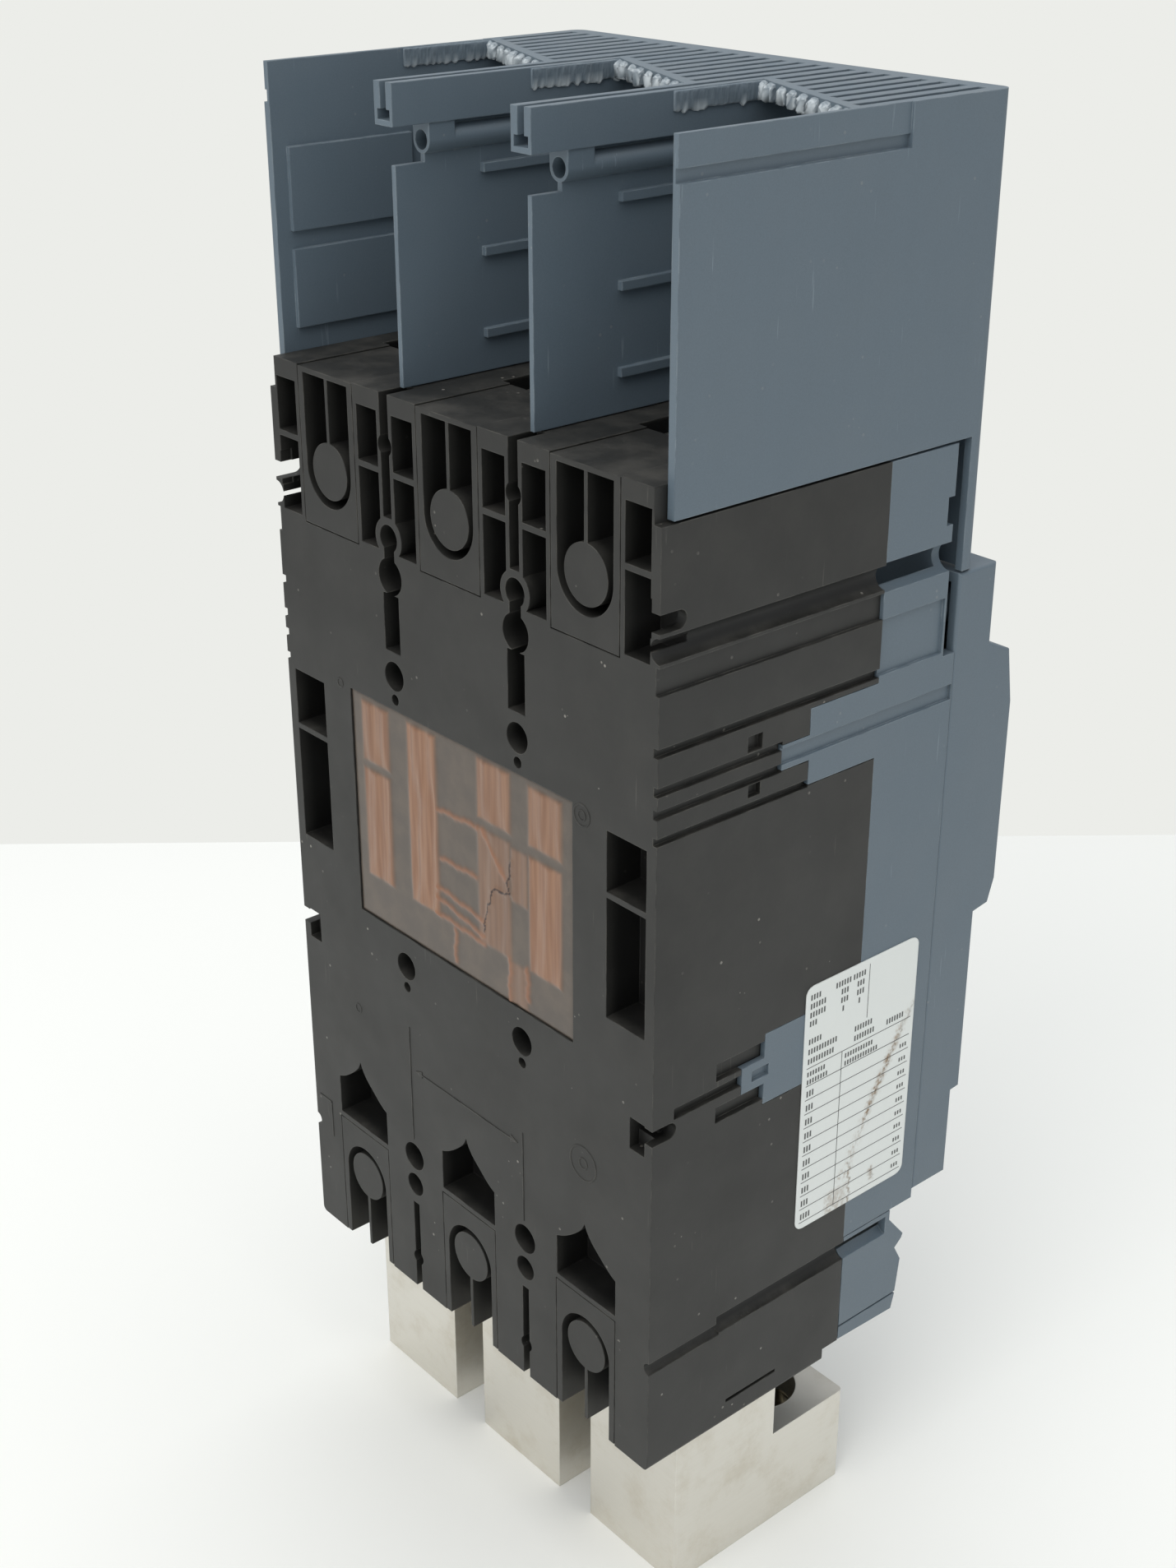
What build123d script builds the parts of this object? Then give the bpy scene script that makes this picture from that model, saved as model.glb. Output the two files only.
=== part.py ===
from build123d import *
from math import asin, cos, degrees, radians, sin
import os

# Three-pole moulded-case circuit breaker with an extended terminal cover and wire lugs.
#
# Frame: the origin is the centre of the four panel-mounting holes, on the back plane.
# +X is to the right seen from the front, the front faces -Y and +Z is up, so the line
# terminals are at the top and the load terminals at the bottom. A "depth" is the
# distance in front of the back plane, so a point at depth d lies at y = -d.

# ---------------------------------------------------------------- driving dimensions (mm)
# Poles and panel mounting
pole_pitch = 46.0          # between poles, and between the two columns of mounting holes
mount_pitch_z = 180.0      # between the upper and lower mounting holes
mount_bore_r = 3.3
mount_boss_r = 6.5
driver_clear = 1.2         # round the mounting screws, through the lower terminal cover
mount_edge = 34.0          # from a mounting hole to the nearer end of the base

# Depths of the stack, from the back plane
base_depth = 66.5          # back plane to the seam of base and front cover
cover_depth = 25.5         # front cover beyond that seam
cover_end_drop = 4.0       # the front cover is this much shallower at the line end
lid_shoulder = 13.0        # lid steps, beyond the front cover
lid_trip = 16.0
lid_nose = 23.0
back_pocket = 10.0         # depth of the pockets in the back
plate = 2.5                # floors, webs and inner walls
shell_gap = 0.3            # between the lower terminal cover and its neighbours
side_wall = 3.0            # outer walls of the base
shell = 2.5                # walls of the front cover and lid
corner_r = 1.5
hook_reach = 7.5           # hook slots, inwards from the side face
hook_lip = 2.5
hook_depth = 5.2           # round end of a hook slot, from the back plane
hook_r = 2.1
mount_ring_r = 5.0         # rings round the upper mounting holes, in the back
mount_ring_neck = 4.0      # width and depth of the gap below each ring

# Terminal ends
insert_w = 21.6            # slide-in plates behind the terminals
insert_len = 38.3
insert_gap = 0.3
terminal_opening_w = 28.0
end_wall = 4.0

# Current path of one pole
bar_back = 27.0            # back face of the copper bars
bar_t = 6.0
bar_w = 20.0
fixed_pad_t = 2.2
arm_pad_t = 1.6
closed_gap = 0.2           # left between the pads of a closed contact
pad_len = 8.0
arm_half_t = 3.0
arm_w = 8.0
arm_reach = 24.0
contact_swing = 28.0       # degrees from open to closed
rotor_z = 34.0
rotor_r = 12.0
shaft_r = 6.0
running_fit = 0.05         # radial, for shafts and pins that turn
bearing_rib = 3.5
rotor_play = 1.0
jog_z = -22.0              # where the load bar steps back
line_bar_end = 46.0

# Arc chutes
chute_z0 = 60.0            # lower edge of the upper chutes
chute_z1 = 84.0
chute_low_z0 = -18.0
chute_low_z1 = 8.0
chute_plate_t = 1.2
chute_plate_pitch = 3.4
chute_plates = 7
cheek_t = 1.0
chute_side_gap = 0.4

# Operating mechanism
handle_z = 24.0            # pivot of the toggle handle
handle_pivot_back = 2.5    # pivot behind the seam of base and cover
handle_swing = 26.0        # degrees from OFF to ON
handle_out = 22.0          # handle beyond the lid's nose
handle_w = 22.0
handle_t = 12.0
handle_clear = 0.9         # between the handle and the ends of its slot
slot_w = 26.0
shield_t = 1.6
mech_plate_t = 2.0
mech_half = 17.0           # to the outer face of each side plate
mech_reach = 12.5          # of the side plates, behind the seam
pivot_pin_r = 3.0
cradle_pin_z = 48.0
cradle_pin_front = 15.5    # cradle pin in front of the seam
cradle_pin_r = 2.0

# Trip system
trip_bar_z = -4.0
trip_bar_r = 3.0
trip_bar_gap = 6.0         # between the load bars and the trip bar
button_x = 33.0
button_drop = 10.0         # button axis below the trip bar's axis
button_r = 4.5
button_stem_r = 2.5
button_out = 2.5
button_travel = 3.0
button_fit = 0.08
button_spring_r = 4.2
trip_web_depth = 48.0      # the pole webs stop here behind the trip unit
trip_clear = 3.5
trip_island_half = 44.0
trip_island_h = 25.0
trip_wall = 2.0
board_t = 1.6
ct_w = 34.0
ct_top = -40.0
ct_depth = 32.0
dial_r = 5.0
dial_x = (-24.0, -2.0)
window_t = 1.5
window_half = 26.5
window_x = -11.0

# Fasteners
cover_screw_r = 2.0
cover_screw_z = (55.8, -23.2)
cover_boss_r = 5.0
lid_screw_r = 1.75
lid_boss_r = 4.5
lid_screw_edge = 9.0       # from the outer side face to the lid screws
terminal_screw_r = 4.0
nut_w = 13.0
nut_t = 6.0
thread_fit = 0.05
head_t = 3.0

# Extended terminal cover
tc_height = 66.0           # above the end of the base
tc_overlap = 7.7           # of its side walls, below the end of the base
tc_back = 3.3
tc_front_gap = 5.0         # in front of the front cover
tc_wall = 2.0
tc_top_t = 4.0             # louvred top
tc_corner_r = 3.0
rail_len = 66.3            # guide along the top of each side wall
rail_h = 6.2
rail_sink = 0.6
rail_groove_h = 2.7
rail_groove_sink = 1.3
tc_leg_depth = 4.2
partition_t = 1.3
beam_w = 6.3               # thick top of each partition, with a T-slot
beam_h = 9.0
slot_neck = 2.1
slot_foot_w = 4.5
slot_foot_h = 2.2
slot_floor = 1.2
tube_r = 2.85
tube_back = 13.0           # open end of the screw tube
tube_boss_len = 7.0        # block that joins the tube's end to the beam
tube_bore_len = 47.0
tube_bore_r = 2.1
tube_drop = 12.8           # tube axis below the top
top_break_near = 50.0      # where the top was broken out, at each bay's left and right
top_break_far = 67.0
louvre_pitch = 5.2
louvre_w = 2.2
louvres = 8
partition_rib_drops = (20.1, 38.4, 56.8)

# Wire lugs
lug_w = 33.0
lug_back = 16.0
lug_front = 77.6
lug_height = 52.8
lug_step_depth = 51.0
lug_step_drop = 23.0
wire_bore_r = 10.0
wire_bore_depth = 62.0
lug_gap = 0.2
lug_tongue_len = 23.0
lug_screw_r = 6.0
lug_screw_len = 14.0
lug_screw_rise = 15.0      # screw axis above the lug's foot

# Film and label
film_half = 41.8
film_z0 = -14.5
film_z1 = 47.0
film_t = 0.4
film_slots = ((7.8, 19.4), (26.6, 37.8))  # pockets beneath the film, on both sides
film_slot_z = (-2.5, 45.5)
film_rib_z = 28.5          # rib across the outer pockets
label_t = 0.3
label_z0 = -76.0
label_z1 = -6.5
label_d0 = 48.0
label_d1 = 87.0

# ---------------------------------------------------------------- places worked out from them
half_width = 1.5 * pole_pitch
base_top = mount_pitch_z / 2 + mount_edge
base_bottom = -base_top
poles = {"left": -pole_pitch, "centre": 0.0, "right": pole_pitch}
web_x = (-pole_pitch / 2, pole_pitch / 2)
mount_z = (mount_pitch_z / 2, -mount_pitch_z / 2)
floor_depth = back_pocket + plate
cover_front = base_depth + cover_depth
cover_inner = cover_front - shell
cover_end_front = cover_front - cover_end_drop
shoulder_front = cover_front + lid_shoulder
trip_front = cover_front + lid_trip
nose_front = cover_front + lid_nose
handle_pivot_depth = base_depth - handle_pivot_back
mech_back = base_depth - mech_reach
cradle_pin_depth = base_depth + cradle_pin_front
half_swing = radians(handle_swing / 2)
slot_h = 2 * ((nose_front - handle_pivot_depth) * sin(half_swing)
              + handle_t / 2 / cos(half_swing) + handle_clear)
lid_top = base_top - 39.0
lid_bottom = base_bottom + 39.4
cover_bottom = base_bottom + 37.1
cover_step_z = base_top - 58.0
tc_rest = base_top - tc_overlap
tc_ledge = 0.6
tc_recess = tc_wall + 0.2
insert_depth = bar_back - 0.2
line_bar_front = bar_back + bar_t
rotor_depth = line_bar_front + fixed_pad_t + closed_gap + arm_pad_t + arm_half_t
load_bar_back = 2 * rotor_depth - line_bar_front
load_bar_front = load_bar_back + bar_t
rotor_half = pole_pitch / 2 - side_wall - bearing_rib - rotor_play
chute_half = pole_pitch / 2 - side_wall - chute_side_gap
trip_bar_depth = load_bar_front + trip_bar_gap + trip_bar_r
terminal_z = base_top - 12.0
lid_screw_x = half_width - lid_screw_edge
trip_half = lid_screw_x - lid_boss_r - 1.5
trip_top = cover_screw_z[1] - cover_boss_r - 1.0
trip_bottom = mount_z[1] + mount_boss_r + trip_clear
island_top = trip_top - 2.0
island_bottom = island_top - trip_island_h
ct_bottom = base_bottom + insert_len + 13.5


# ---------------------------------------------------------------- shape helpers
def turned(depth, height, angle):
    """Placement that turns a piece about the X line at this depth and height."""
    axis = Location((0, -depth, height))
    return axis * Location((0, 0, 0), (angle, 0, 0)) * axis.inverse()


def block(xs, depths, heights, mode=Mode.ADD, at=Location()):
    """Box between two x values, two depths and two heights."""
    centre = ((xs[0] + xs[1]) / 2, -(depths[0] + depths[1]) / 2, (heights[0] + heights[1]) / 2)
    with Locations(at * Location(centre)):
        Box(xs[1] - xs[0], depths[1] - depths[0], heights[1] - heights[0], mode=mode)


def rod_x(depth, height, xs, radius, mode=Mode.ADD, at=Location()):
    """Cylinder along X."""
    with Locations(at * Location(((xs[0] + xs[1]) / 2, -depth, height), (0, 90, 0))):
        Cylinder(radius, xs[1] - xs[0], mode=mode)


def rod_y(x, height, depths, radius, mode=Mode.ADD):
    """Cylinder along Y."""
    with Locations(Location((x, -(depths[0] + depths[1]) / 2, height), (90, 0, 0))):
        Cylinder(radius, depths[1] - depths[0], mode=mode)


def rod_z(x, depth, heights, radius, mode=Mode.ADD):
    """Cylinder along Z."""
    with Locations((x, -depth, (heights[0] + heights[1]) / 2)):
        Cylinder(radius, heights[1] - heights[0], mode=mode)


def prism_x(points, xs, mode=Mode.ADD, at=Location(), inset=0.0):
    """Polygon of (depth, height) points, set in by inset, run from one x to another."""
    with BuildSketch(Plane(at * Plane.YZ.offset(xs[0]).location)) as outline:
        with BuildLine():
            Polyline(*[(-depth, height) for depth, height in points], close=True)
        make_face()
        if inset:
            offset(amount=-inset, kind=Kind.INTERSECTION)
    extrude(outline.sketch, amount=xs[1] - xs[0], mode=mode)


def both_sides(cut, *sizes):
    """Run one side feature on the left and on the right of the body."""
    for side in (-1, 1):
        cut(side, *sizes)


def side_band(side, heights, depths, sink):
    """Shallow band sunk into an outer side face."""
    xs = sorted((side * (half_width - sink), side * (half_width + 1)))
    block(xs, depths, heights, Mode.SUBTRACT)


def side_round(side, height, depths, radius):
    """Half-round channel along an outer side face."""
    rod_y(side * half_width, height, depths, radius, Mode.SUBTRACT)


def save(piece, name):
    """Label a finished piece and write it under its own name."""
    piece.part.label = name
    export_step(piece.part, f"parts/{name}.step")


os.makedirs("parts", exist_ok=True)

# ---------------------------------------------------------------- side features shared by shells
upper_tongue = {"z": (base_top - 77.0, base_top - 58.7), "depth": 45.0}
upper_snap = {"z": (base_top - 71.0, base_top - 65.0), "depth": 36.5}
lower_tongue = {"z": (-32.7, -13.5), "depth": 35.0}
lower_snap = {"z": (-27.0, -20.0), "depth": 27.7}
tongue_t = 1.5
tongue_gap = 0.2
trough_z = base_top - 33.8
trough_r = 2.85
foot_channel_z = base_bottom + 32.8


def tongue_blocks(side, grow, front, mode):
    """Both snap tongues on one side, grown by a clearance for their recess."""
    inner = half_width - tongue_t - grow
    outer = half_width + (1 if mode == Mode.SUBTRACT else 0)
    xs = sorted((side * inner, side * outer))
    for shape in (upper_tongue, upper_snap, lower_tongue, lower_snap):
        low, high = shape["z"]
        block(xs, (shape["depth"] - grow, front), (low - grow, high + grow), mode)


# ---------------------------------------------------------------- base housing
def back_insert_seats():
    """Through openings at both ends of the back that take the slide-in plates."""
    half = insert_w / 2 + insert_gap
    reach = insert_len + insert_gap
    for x in poles.values():
        for end in (1, -1):
            heights = sorted((end * (base_top - reach), end * (base_top + 1)))
            block((x - half, x + half), (-1, insert_depth), heights, Mode.SUBTRACT)
            opening = terminal_opening_w / 2
            end_heights = sorted((end * (base_top - end_wall - 1), end * (base_top + 1)))
            block((x - opening, x + opening), (insert_depth, base_depth + 1), end_heights, Mode.SUBTRACT)


def back_line_pockets():
    """Blind pockets in the back beside each line terminal plate."""
    inner = insert_w / 2 + insert_gap + plate / 2
    outer = pole_pitch / 2 - 2.8
    for x in poles.values():
        for side in (-1, 1):
            xs = sorted((x + side * inner, x + side * outer))
            for heights in ((base_top - 17.6, base_top - 4.5), (base_top - 37.3, base_top - 19.0)):
                block(xs, (-1, back_pocket), heights, Mode.SUBTRACT)


def back_web_slots():
    """Slots, lobes and screw recesses between the poles."""
    for x in web_x:
        block((x - 1.65, x + 1.65), (-1, 8), (base_top - 29, base_top + 1), Mode.SUBTRACT)
        rod_y(x, base_top - 12, (-1, 8), 2.6, Mode.SUBTRACT)
        rod_y(x, mount_z[0], (0, back_pocket + 0.5), mount_ring_r)
        block((x - mount_ring_neck / 2, x + mount_ring_neck / 2), (-1, mount_ring_neck),
              (base_top - 43.3, mount_z[0]), Mode.SUBTRACT)
        rod_y(x, base_top - 43.3, (-1, 8), 4.5, Mode.SUBTRACT)
        block((x - 3, x + 3), (-1, 8), (base_top - 62, base_top - 47.6), Mode.SUBTRACT)
        block((x - 1.25, x + 1.25), (-1, 8), (base_bottom - 1, base_bottom + 28), Mode.SUBTRACT)
        rod_y(x, base_bottom + 9.9, (-1, 8), 2.1, Mode.SUBTRACT)
        rod_y(x, base_bottom + 43, (-1, 8), 4.0, Mode.SUBTRACT)
        for z in cover_screw_z:
            rod_y(x, z, (-1, back_pocket), 3.7, Mode.SUBTRACT)
            rod_y(x, z - 6.0, (-1, 5), 1.4, Mode.SUBTRACT)


def back_vents():
    """Deep exhaust pockets at both edges, each with a divider."""
    for side in (-1, 1):
        xs = sorted((side * (half_width - 15.8), side * (half_width - side_wall)))
        block(xs, (-1, back_pocket), (-2.2, 28.2), Mode.SUBTRACT)
        block(xs, (-1, back_pocket), (29.6, 44.5), Mode.SUBTRACT)


def back_film_bed():
    """Shallow bed for the film, with upright pockets beneath it."""
    block((-film_half, film_half), (-1, 2 * film_t), (film_z0, film_z1), Mode.SUBTRACT)
    for side in (-1, 1):
        inner, outer = (sorted((side * low, side * high)) for low, high in film_slots)
        block(inner, (-1, back_pocket), film_slot_z, Mode.SUBTRACT)
        block(outer, (-1, back_pocket), (film_slot_z[0], film_rib_z - plate / 2), Mode.SUBTRACT)
        block(outer, (-1, back_pocket), (film_rib_z + plate / 2, film_slot_z[1]), Mode.SUBTRACT)


def back_ogee_pockets():
    """Onion-shaped pocket above each load terminal plate."""
    rise = base_bottom + 40.0
    for x in poles.values():
        with BuildSketch(Plane.XZ) as onion:
            with BuildLine():
                Line((x - 11, rise), (x + 10.6, rise))
                Line((x + 10.6, rise), (x + 10.6, rise + 11.5))
                Spline((x + 10.6, rise + 11.5), (x + 4.2, rise + 15.5), (x + 0.2, rise + 20.8),
                       tangents=((-1, 0.35), (-0.3, 1)))
                Spline((x + 0.2, rise + 20.8), (x - 5.8, rise + 13.8), (x - 11, rise + 10.4),
                       tangents=((-0.3, -1), (-1, -0.35)))
                Line((x - 11, rise + 10.4), (x - 11, rise))
            make_face()
        extrude(onion.sketch, amount=back_pocket, mode=Mode.SUBTRACT)


def hook_slots(side):
    """C-shaped hook slots that wrap from the back onto a side face."""
    for z, drop in ((base_top - 23.5, -1.0), (-25.0, 1.5)):
        in_back = sorted((side * (half_width - hook_reach), side * (half_width - hook_lip)))
        block(in_back, (-1, 3), (z - 8, z + 0.5), Mode.SUBTRACT)
        wrap = sorted((side * (half_width - hook_reach), side * (half_width + 1)))
        axis_z = z - 3.5 + drop
        block(wrap, (-1, hook_depth), (axis_z - hook_r, axis_z + hook_r), Mode.SUBTRACT)
        xs = sorted((side * (half_width - hook_lip - 1.0), side * (half_width + 1)))
        rod_x(hook_depth, axis_z, xs, hook_r, Mode.SUBTRACT)


def side_grooves(side):
    """Ledges, channels and slots along a side of the base."""
    side_round(side, trough_z, (-1, base_depth + 1), trough_r)
    side_band(side, (base_top - 43.6, base_top - 37.4), (-1, base_depth + 1), 1.0)
    side_band(side, (base_top - 57.4, base_top - 55.2), (-1, base_depth + 1), 1.4)
    side_band(side, (base_top - 66.2, base_top - 64.0), (-1, upper_snap["depth"]), 1.2)
    side_band(side, (base_top - 71.4, base_top - 69.3), (-1, upper_snap["depth"]), 1.2)
    side_band(side, (base_top - 77.6, base_top - 75.7), (-1, upper_tongue["depth"]), 1.2)
    side_band(side, (base_top - 63.7, base_top - 59.9), (25.9, 30.3), 1.5)
    side_band(side, (base_top - 74.5, base_top - 71.5), (26.4, 30.1), 1.5)
    side_band(side, (-24.5, -21.5), (6.5, 27.7), 1.5)
    side_band(side, (-20.0, -15.3), (19.5, 35.0), 1.5)
    side_band(side, (-31.3, -27.0), (19.5, 35.0), 1.5)
    side_band(side, (base_bottom + 6.5, base_bottom + 7.5), (26.2, 43.5), 1.0)
    side_round(side, foot_channel_z, (22.0, base_depth + 1), 2.7)
    side_round(side, foot_channel_z - 1.4, (-1, 23.0), 1.8)


def shaft_bearings():
    """Ribs beside the outer walls, and the U-slots in which the shafts lie."""
    inner = half_width - side_wall
    slots = [(rotor_depth, rotor_z, shaft_r), (trip_bar_depth, trip_bar_z, trip_bar_r)]
    for side in (-1, 1):
        xs = sorted((side * (inner - bearing_rib), side * inner))
        block(xs, (floor_depth, base_depth), (rotor_z - 12, rotor_z + 12))
    for depth, z, radius in slots:
        reach = radius + running_fit
        rod_x(depth, z, (-inner, inner), reach, Mode.SUBTRACT)
        block((-inner, inner), (depth, base_depth + 1), (z - reach, z + reach), Mode.SUBTRACT)


def inner_bosses():
    """Bosses for the mounting screws and for the front cover's screws."""
    for x in web_x:
        for z in mount_z:
            rod_y(x, z, (8.5, base_depth), mount_boss_r)
        for z in cover_screw_z:
            rod_y(x, z, (floor_depth, base_depth), cover_boss_r)
            rod_y(x, z, (floor_depth + 6, base_depth + 1), cover_screw_r + thread_fit, Mode.SUBTRACT)


with BuildPart() as base_housing:
    block((-half_width, half_width), (0, base_depth), (base_bottom, base_top))
    fillet(base_housing.edges().filter_by(Axis.Y), corner_r)
    for pole in poles.values():
        cavity_low = max(pole - pole_pitch / 2 + plate / 2, -half_width + side_wall)
        cavity_high = min(pole + pole_pitch / 2 - plate / 2, half_width - side_wall)
        cavity_z = (base_bottom + end_wall, base_top - end_wall)
        block((cavity_low, cavity_high), (floor_depth, base_depth + 1), cavity_z, Mode.SUBTRACT)
    for web in web_x:
        block((web - plate, web + plate), (trip_web_depth, base_depth + 1),
              (trip_bottom - 1, trip_top + 0.5), Mode.SUBTRACT)
    for web in web_x:
        side = 1 if web > 0 else -1
        for ledge_z in (handle_z - 18, handle_z + 30):
            ledge = sorted((side * (mech_half - 3), side * (pole_pitch / 2 - plate / 2)))
            block(ledge, (mech_back - 4.2, mech_back - 0.2), (ledge_z - 4, ledge_z + 4))
    inner_bosses()
    shaft_bearings()
    back_insert_seats()
    back_line_pockets()
    back_web_slots()
    back_vents()
    back_film_bed()
    back_ogee_pockets()
    both_sides(hook_slots)
    both_sides(side_grooves)
    both_sides(tongue_blocks, tongue_gap, base_depth + 1, Mode.SUBTRACT)
    for side in (-1, 1):
        step = sorted((side * (half_width - tc_recess), side * (half_width + 1)))
        block(step, (-1, base_depth + 1), (tc_rest, base_top + 1), Mode.SUBTRACT)
    block((-half_width - 1, half_width + 1), (base_depth - 5.5, base_depth + 1),
          (base_bottom - 1, base_bottom + 4), Mode.SUBTRACT)
    for web in web_x:
        for z in mount_z:
            rod_y(web, z, (-1, base_depth + 1), mount_bore_r, Mode.SUBTRACT)

save(base_housing, "base_housing")


# ---------------------------------------------------------------- plates behind the terminals
def terminal_plate(x, end):
    """Slide-in plate with a U-shaped pocket, a nut boss in it and a pocket for the nut."""
    inner_z = end * (base_top - insert_len)
    outer_z = end * (base_top - 0.3)
    pocket_end = end * (base_top - 1.5) if end > 0 else end * (base_top + 1)
    boss_z = end * (base_top - 23.7)
    half_pocket = 8.9
    block((x - insert_w / 2, x + insert_w / 2), (0, insert_depth), sorted((inner_z, outer_z)))
    rod_y(x, boss_z, (-1, 10), half_pocket, Mode.SUBTRACT)
    block((x - half_pocket, x + half_pocket), (-1, 10), sorted((boss_z, pocket_end)), Mode.SUBTRACT)
    rod_y(x, boss_z, (0.3, 10.5), 6.9)
    block((x - 0.5, x + 0.5), (0.3, 10.5), sorted((boss_z, end * (base_top - 1))))
    half_nut = nut_w / 2 + 0.1
    nut_heights = (end * terminal_z - half_nut, end * terminal_z + half_nut)
    block((x - half_nut, x + half_nut), (insert_depth - nut_t - 0.6, insert_depth + 1),
          nut_heights, Mode.SUBTRACT)
    rod_y(x, end * terminal_z, (insert_depth - nut_t - 5, insert_depth), terminal_screw_r + 0.3,
          Mode.SUBTRACT)


for pole_name, pole in poles.items():
    with BuildPart() as upper_insert:
        terminal_plate(pole, 1)
    save(upper_insert, f"upper_insert_{pole_name}")

    with BuildPart() as lower_insert:
        terminal_plate(pole, -1)
    save(lower_insert, f"lower_insert_{pole_name}")

# ---------------------------------------------------------------- film and label
with BuildPart() as rear_insulating_film:
    block((-film_half + 0.2, film_half - 0.2), (film_t, 2 * film_t), (film_z0 + 0.2, film_z1 - 0.2))
save(rear_insulating_film, "rear_insulating_film")

with BuildPart() as rating_label:
    block((-half_width - label_t, -half_width), (label_d0, label_d1), (label_z0, label_z1))
    fillet(rating_label.edges().filter_by(Axis.X), 2.5)
save(rating_label, "rating_label")

# ---------------------------------------------------------------- front cover
trip_opening = ((-trip_island_half - 0.5, trip_island_half + 0.5),
                (island_bottom - 0.5, island_top + 0.5))
mech_opening = ((-mech_half - 3, mech_half + 3), (handle_z - 26, handle_z + 26))
button_z = trip_bar_z - button_drop
lid_screw_z = (lid_top - 10, lid_bottom + 10)

with BuildPart() as front_cover:
    block((-half_width, half_width), (base_depth, cover_front), (cover_bottom, cover_step_z))
    block((-half_width, half_width), (base_depth, cover_end_front), (cover_step_z, base_top))
    fillet(front_cover.edges().filter_by(Axis.Y).sort_by(Axis.Z)[-2:], corner_r)
    shelled = half_width - shell
    block((-shelled, shelled), (base_depth - 1, cover_inner), (cover_bottom + shell, cover_step_z - shell),
          Mode.SUBTRACT)
    block((-shelled, shelled), (base_depth - 1, cover_end_front - shell),
          (cover_step_z - shell, base_top - shell), Mode.SUBTRACT)
    both_sides(tongue_blocks, 0.0, base_depth, Mode.ADD)
    for web in web_x:
        rod_y(web, mount_z[0], (base_depth, cover_end_front), mount_boss_r)
        for z in cover_screw_z:
            rod_y(web, z, (base_depth, cover_front), cover_boss_r)
            rod_y(web, z, (base_depth - 1, cover_front + 1), cover_screw_r + 0.3, Mode.SUBTRACT)
            rod_y(web, z, (cover_front - head_t - 0.3, cover_front + 1), 2 * cover_screw_r + 0.3,
                  Mode.SUBTRACT)
        rod_y(web, mount_z[0], (base_depth - 1, cover_front + 1), mount_bore_r, Mode.SUBTRACT)
    for opening_x, opening_z in (trip_opening, mech_opening):
        block(opening_x, (cover_inner - 1, cover_front + 1), opening_z, Mode.SUBTRACT)
    for pole in poles.values():
        block((pole - 11, pole + 11), (base_depth - 1, cover_end_front + 1),
              (base_top - 26, base_top + 1), Mode.SUBTRACT)
    rod_y(button_x, button_z, (cover_front - 12, cover_front), button_stem_r + 3)
    rod_y(button_x, button_z, (cover_front - 13, cover_front + 1), button_stem_r + button_fit, Mode.SUBTRACT)
    rod_y(button_x, button_z, (cover_front - button_travel - 0.3, cover_front + 1), button_spring_r + 0.3,
          Mode.SUBTRACT)
    for x in (-lid_screw_x, lid_screw_x):
        for z in lid_screw_z:
            depth = cover_end_front if z > cover_step_z else cover_front
            rod_y(x, z, (depth - 14, depth), lid_boss_r)
            rod_y(x, z, (depth - 12, depth + 1), lid_screw_r + thread_fit, Mode.SUBTRACT)
    for side in (-1, 1):
        side_round(side, trough_z, (base_depth - 1, cover_front + 1), trough_r + 0.6)
        side_band(side, (cover_step_z + 1, base_top - 43.6), (base_depth - 1, cover_end_front - 0.6), 0.8)
        side_band(side, (base_top - 69.7, base_top - 65.8), (upper_snap["depth"] - 1, cover_front - 0.1), 0.8)
        side_band(side, (lower_snap["z"][0] + 2, lower_snap["z"][1] - 2), (31.0, 36.5), 1.0)
        side_band(side, (base_top - 26.3, base_top - 19.7), (cover_end_front - 2, cover_front), 2.0)
        step = sorted((side * (half_width - tc_recess), side * (half_width + 1)))
        block(step, (base_depth - 1, cover_front), (tc_rest, base_top + 1), Mode.SUBTRACT)
save(front_cover, "front_cover")

# ---------------------------------------------------------------- front lid
lid_outline = [
    (cover_front, lid_top), (shoulder_front, lid_top), (shoulder_front, handle_z + 41),
    (nose_front - 2.3, handle_z + 37.5), (nose_front, handle_z + 23.5), (nose_front, handle_z - 24.5),
    (nose_front - 2, handle_z - 31), (trip_front - 0.2, handle_z - 31.8),
    (trip_front, lid_bottom + 25.4), (shoulder_front, lid_bottom + 25.1),
    (shoulder_front, lid_bottom), (cover_front, lid_bottom),
]
flap_z0 = island_bottom + 1.0
flap_z1 = island_top + 1.0
hinge_depth = trip_front + 1.6
hinge_z = flap_z0 - 0.6
pin_r = 1.2
ear_r = 2.2

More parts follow.
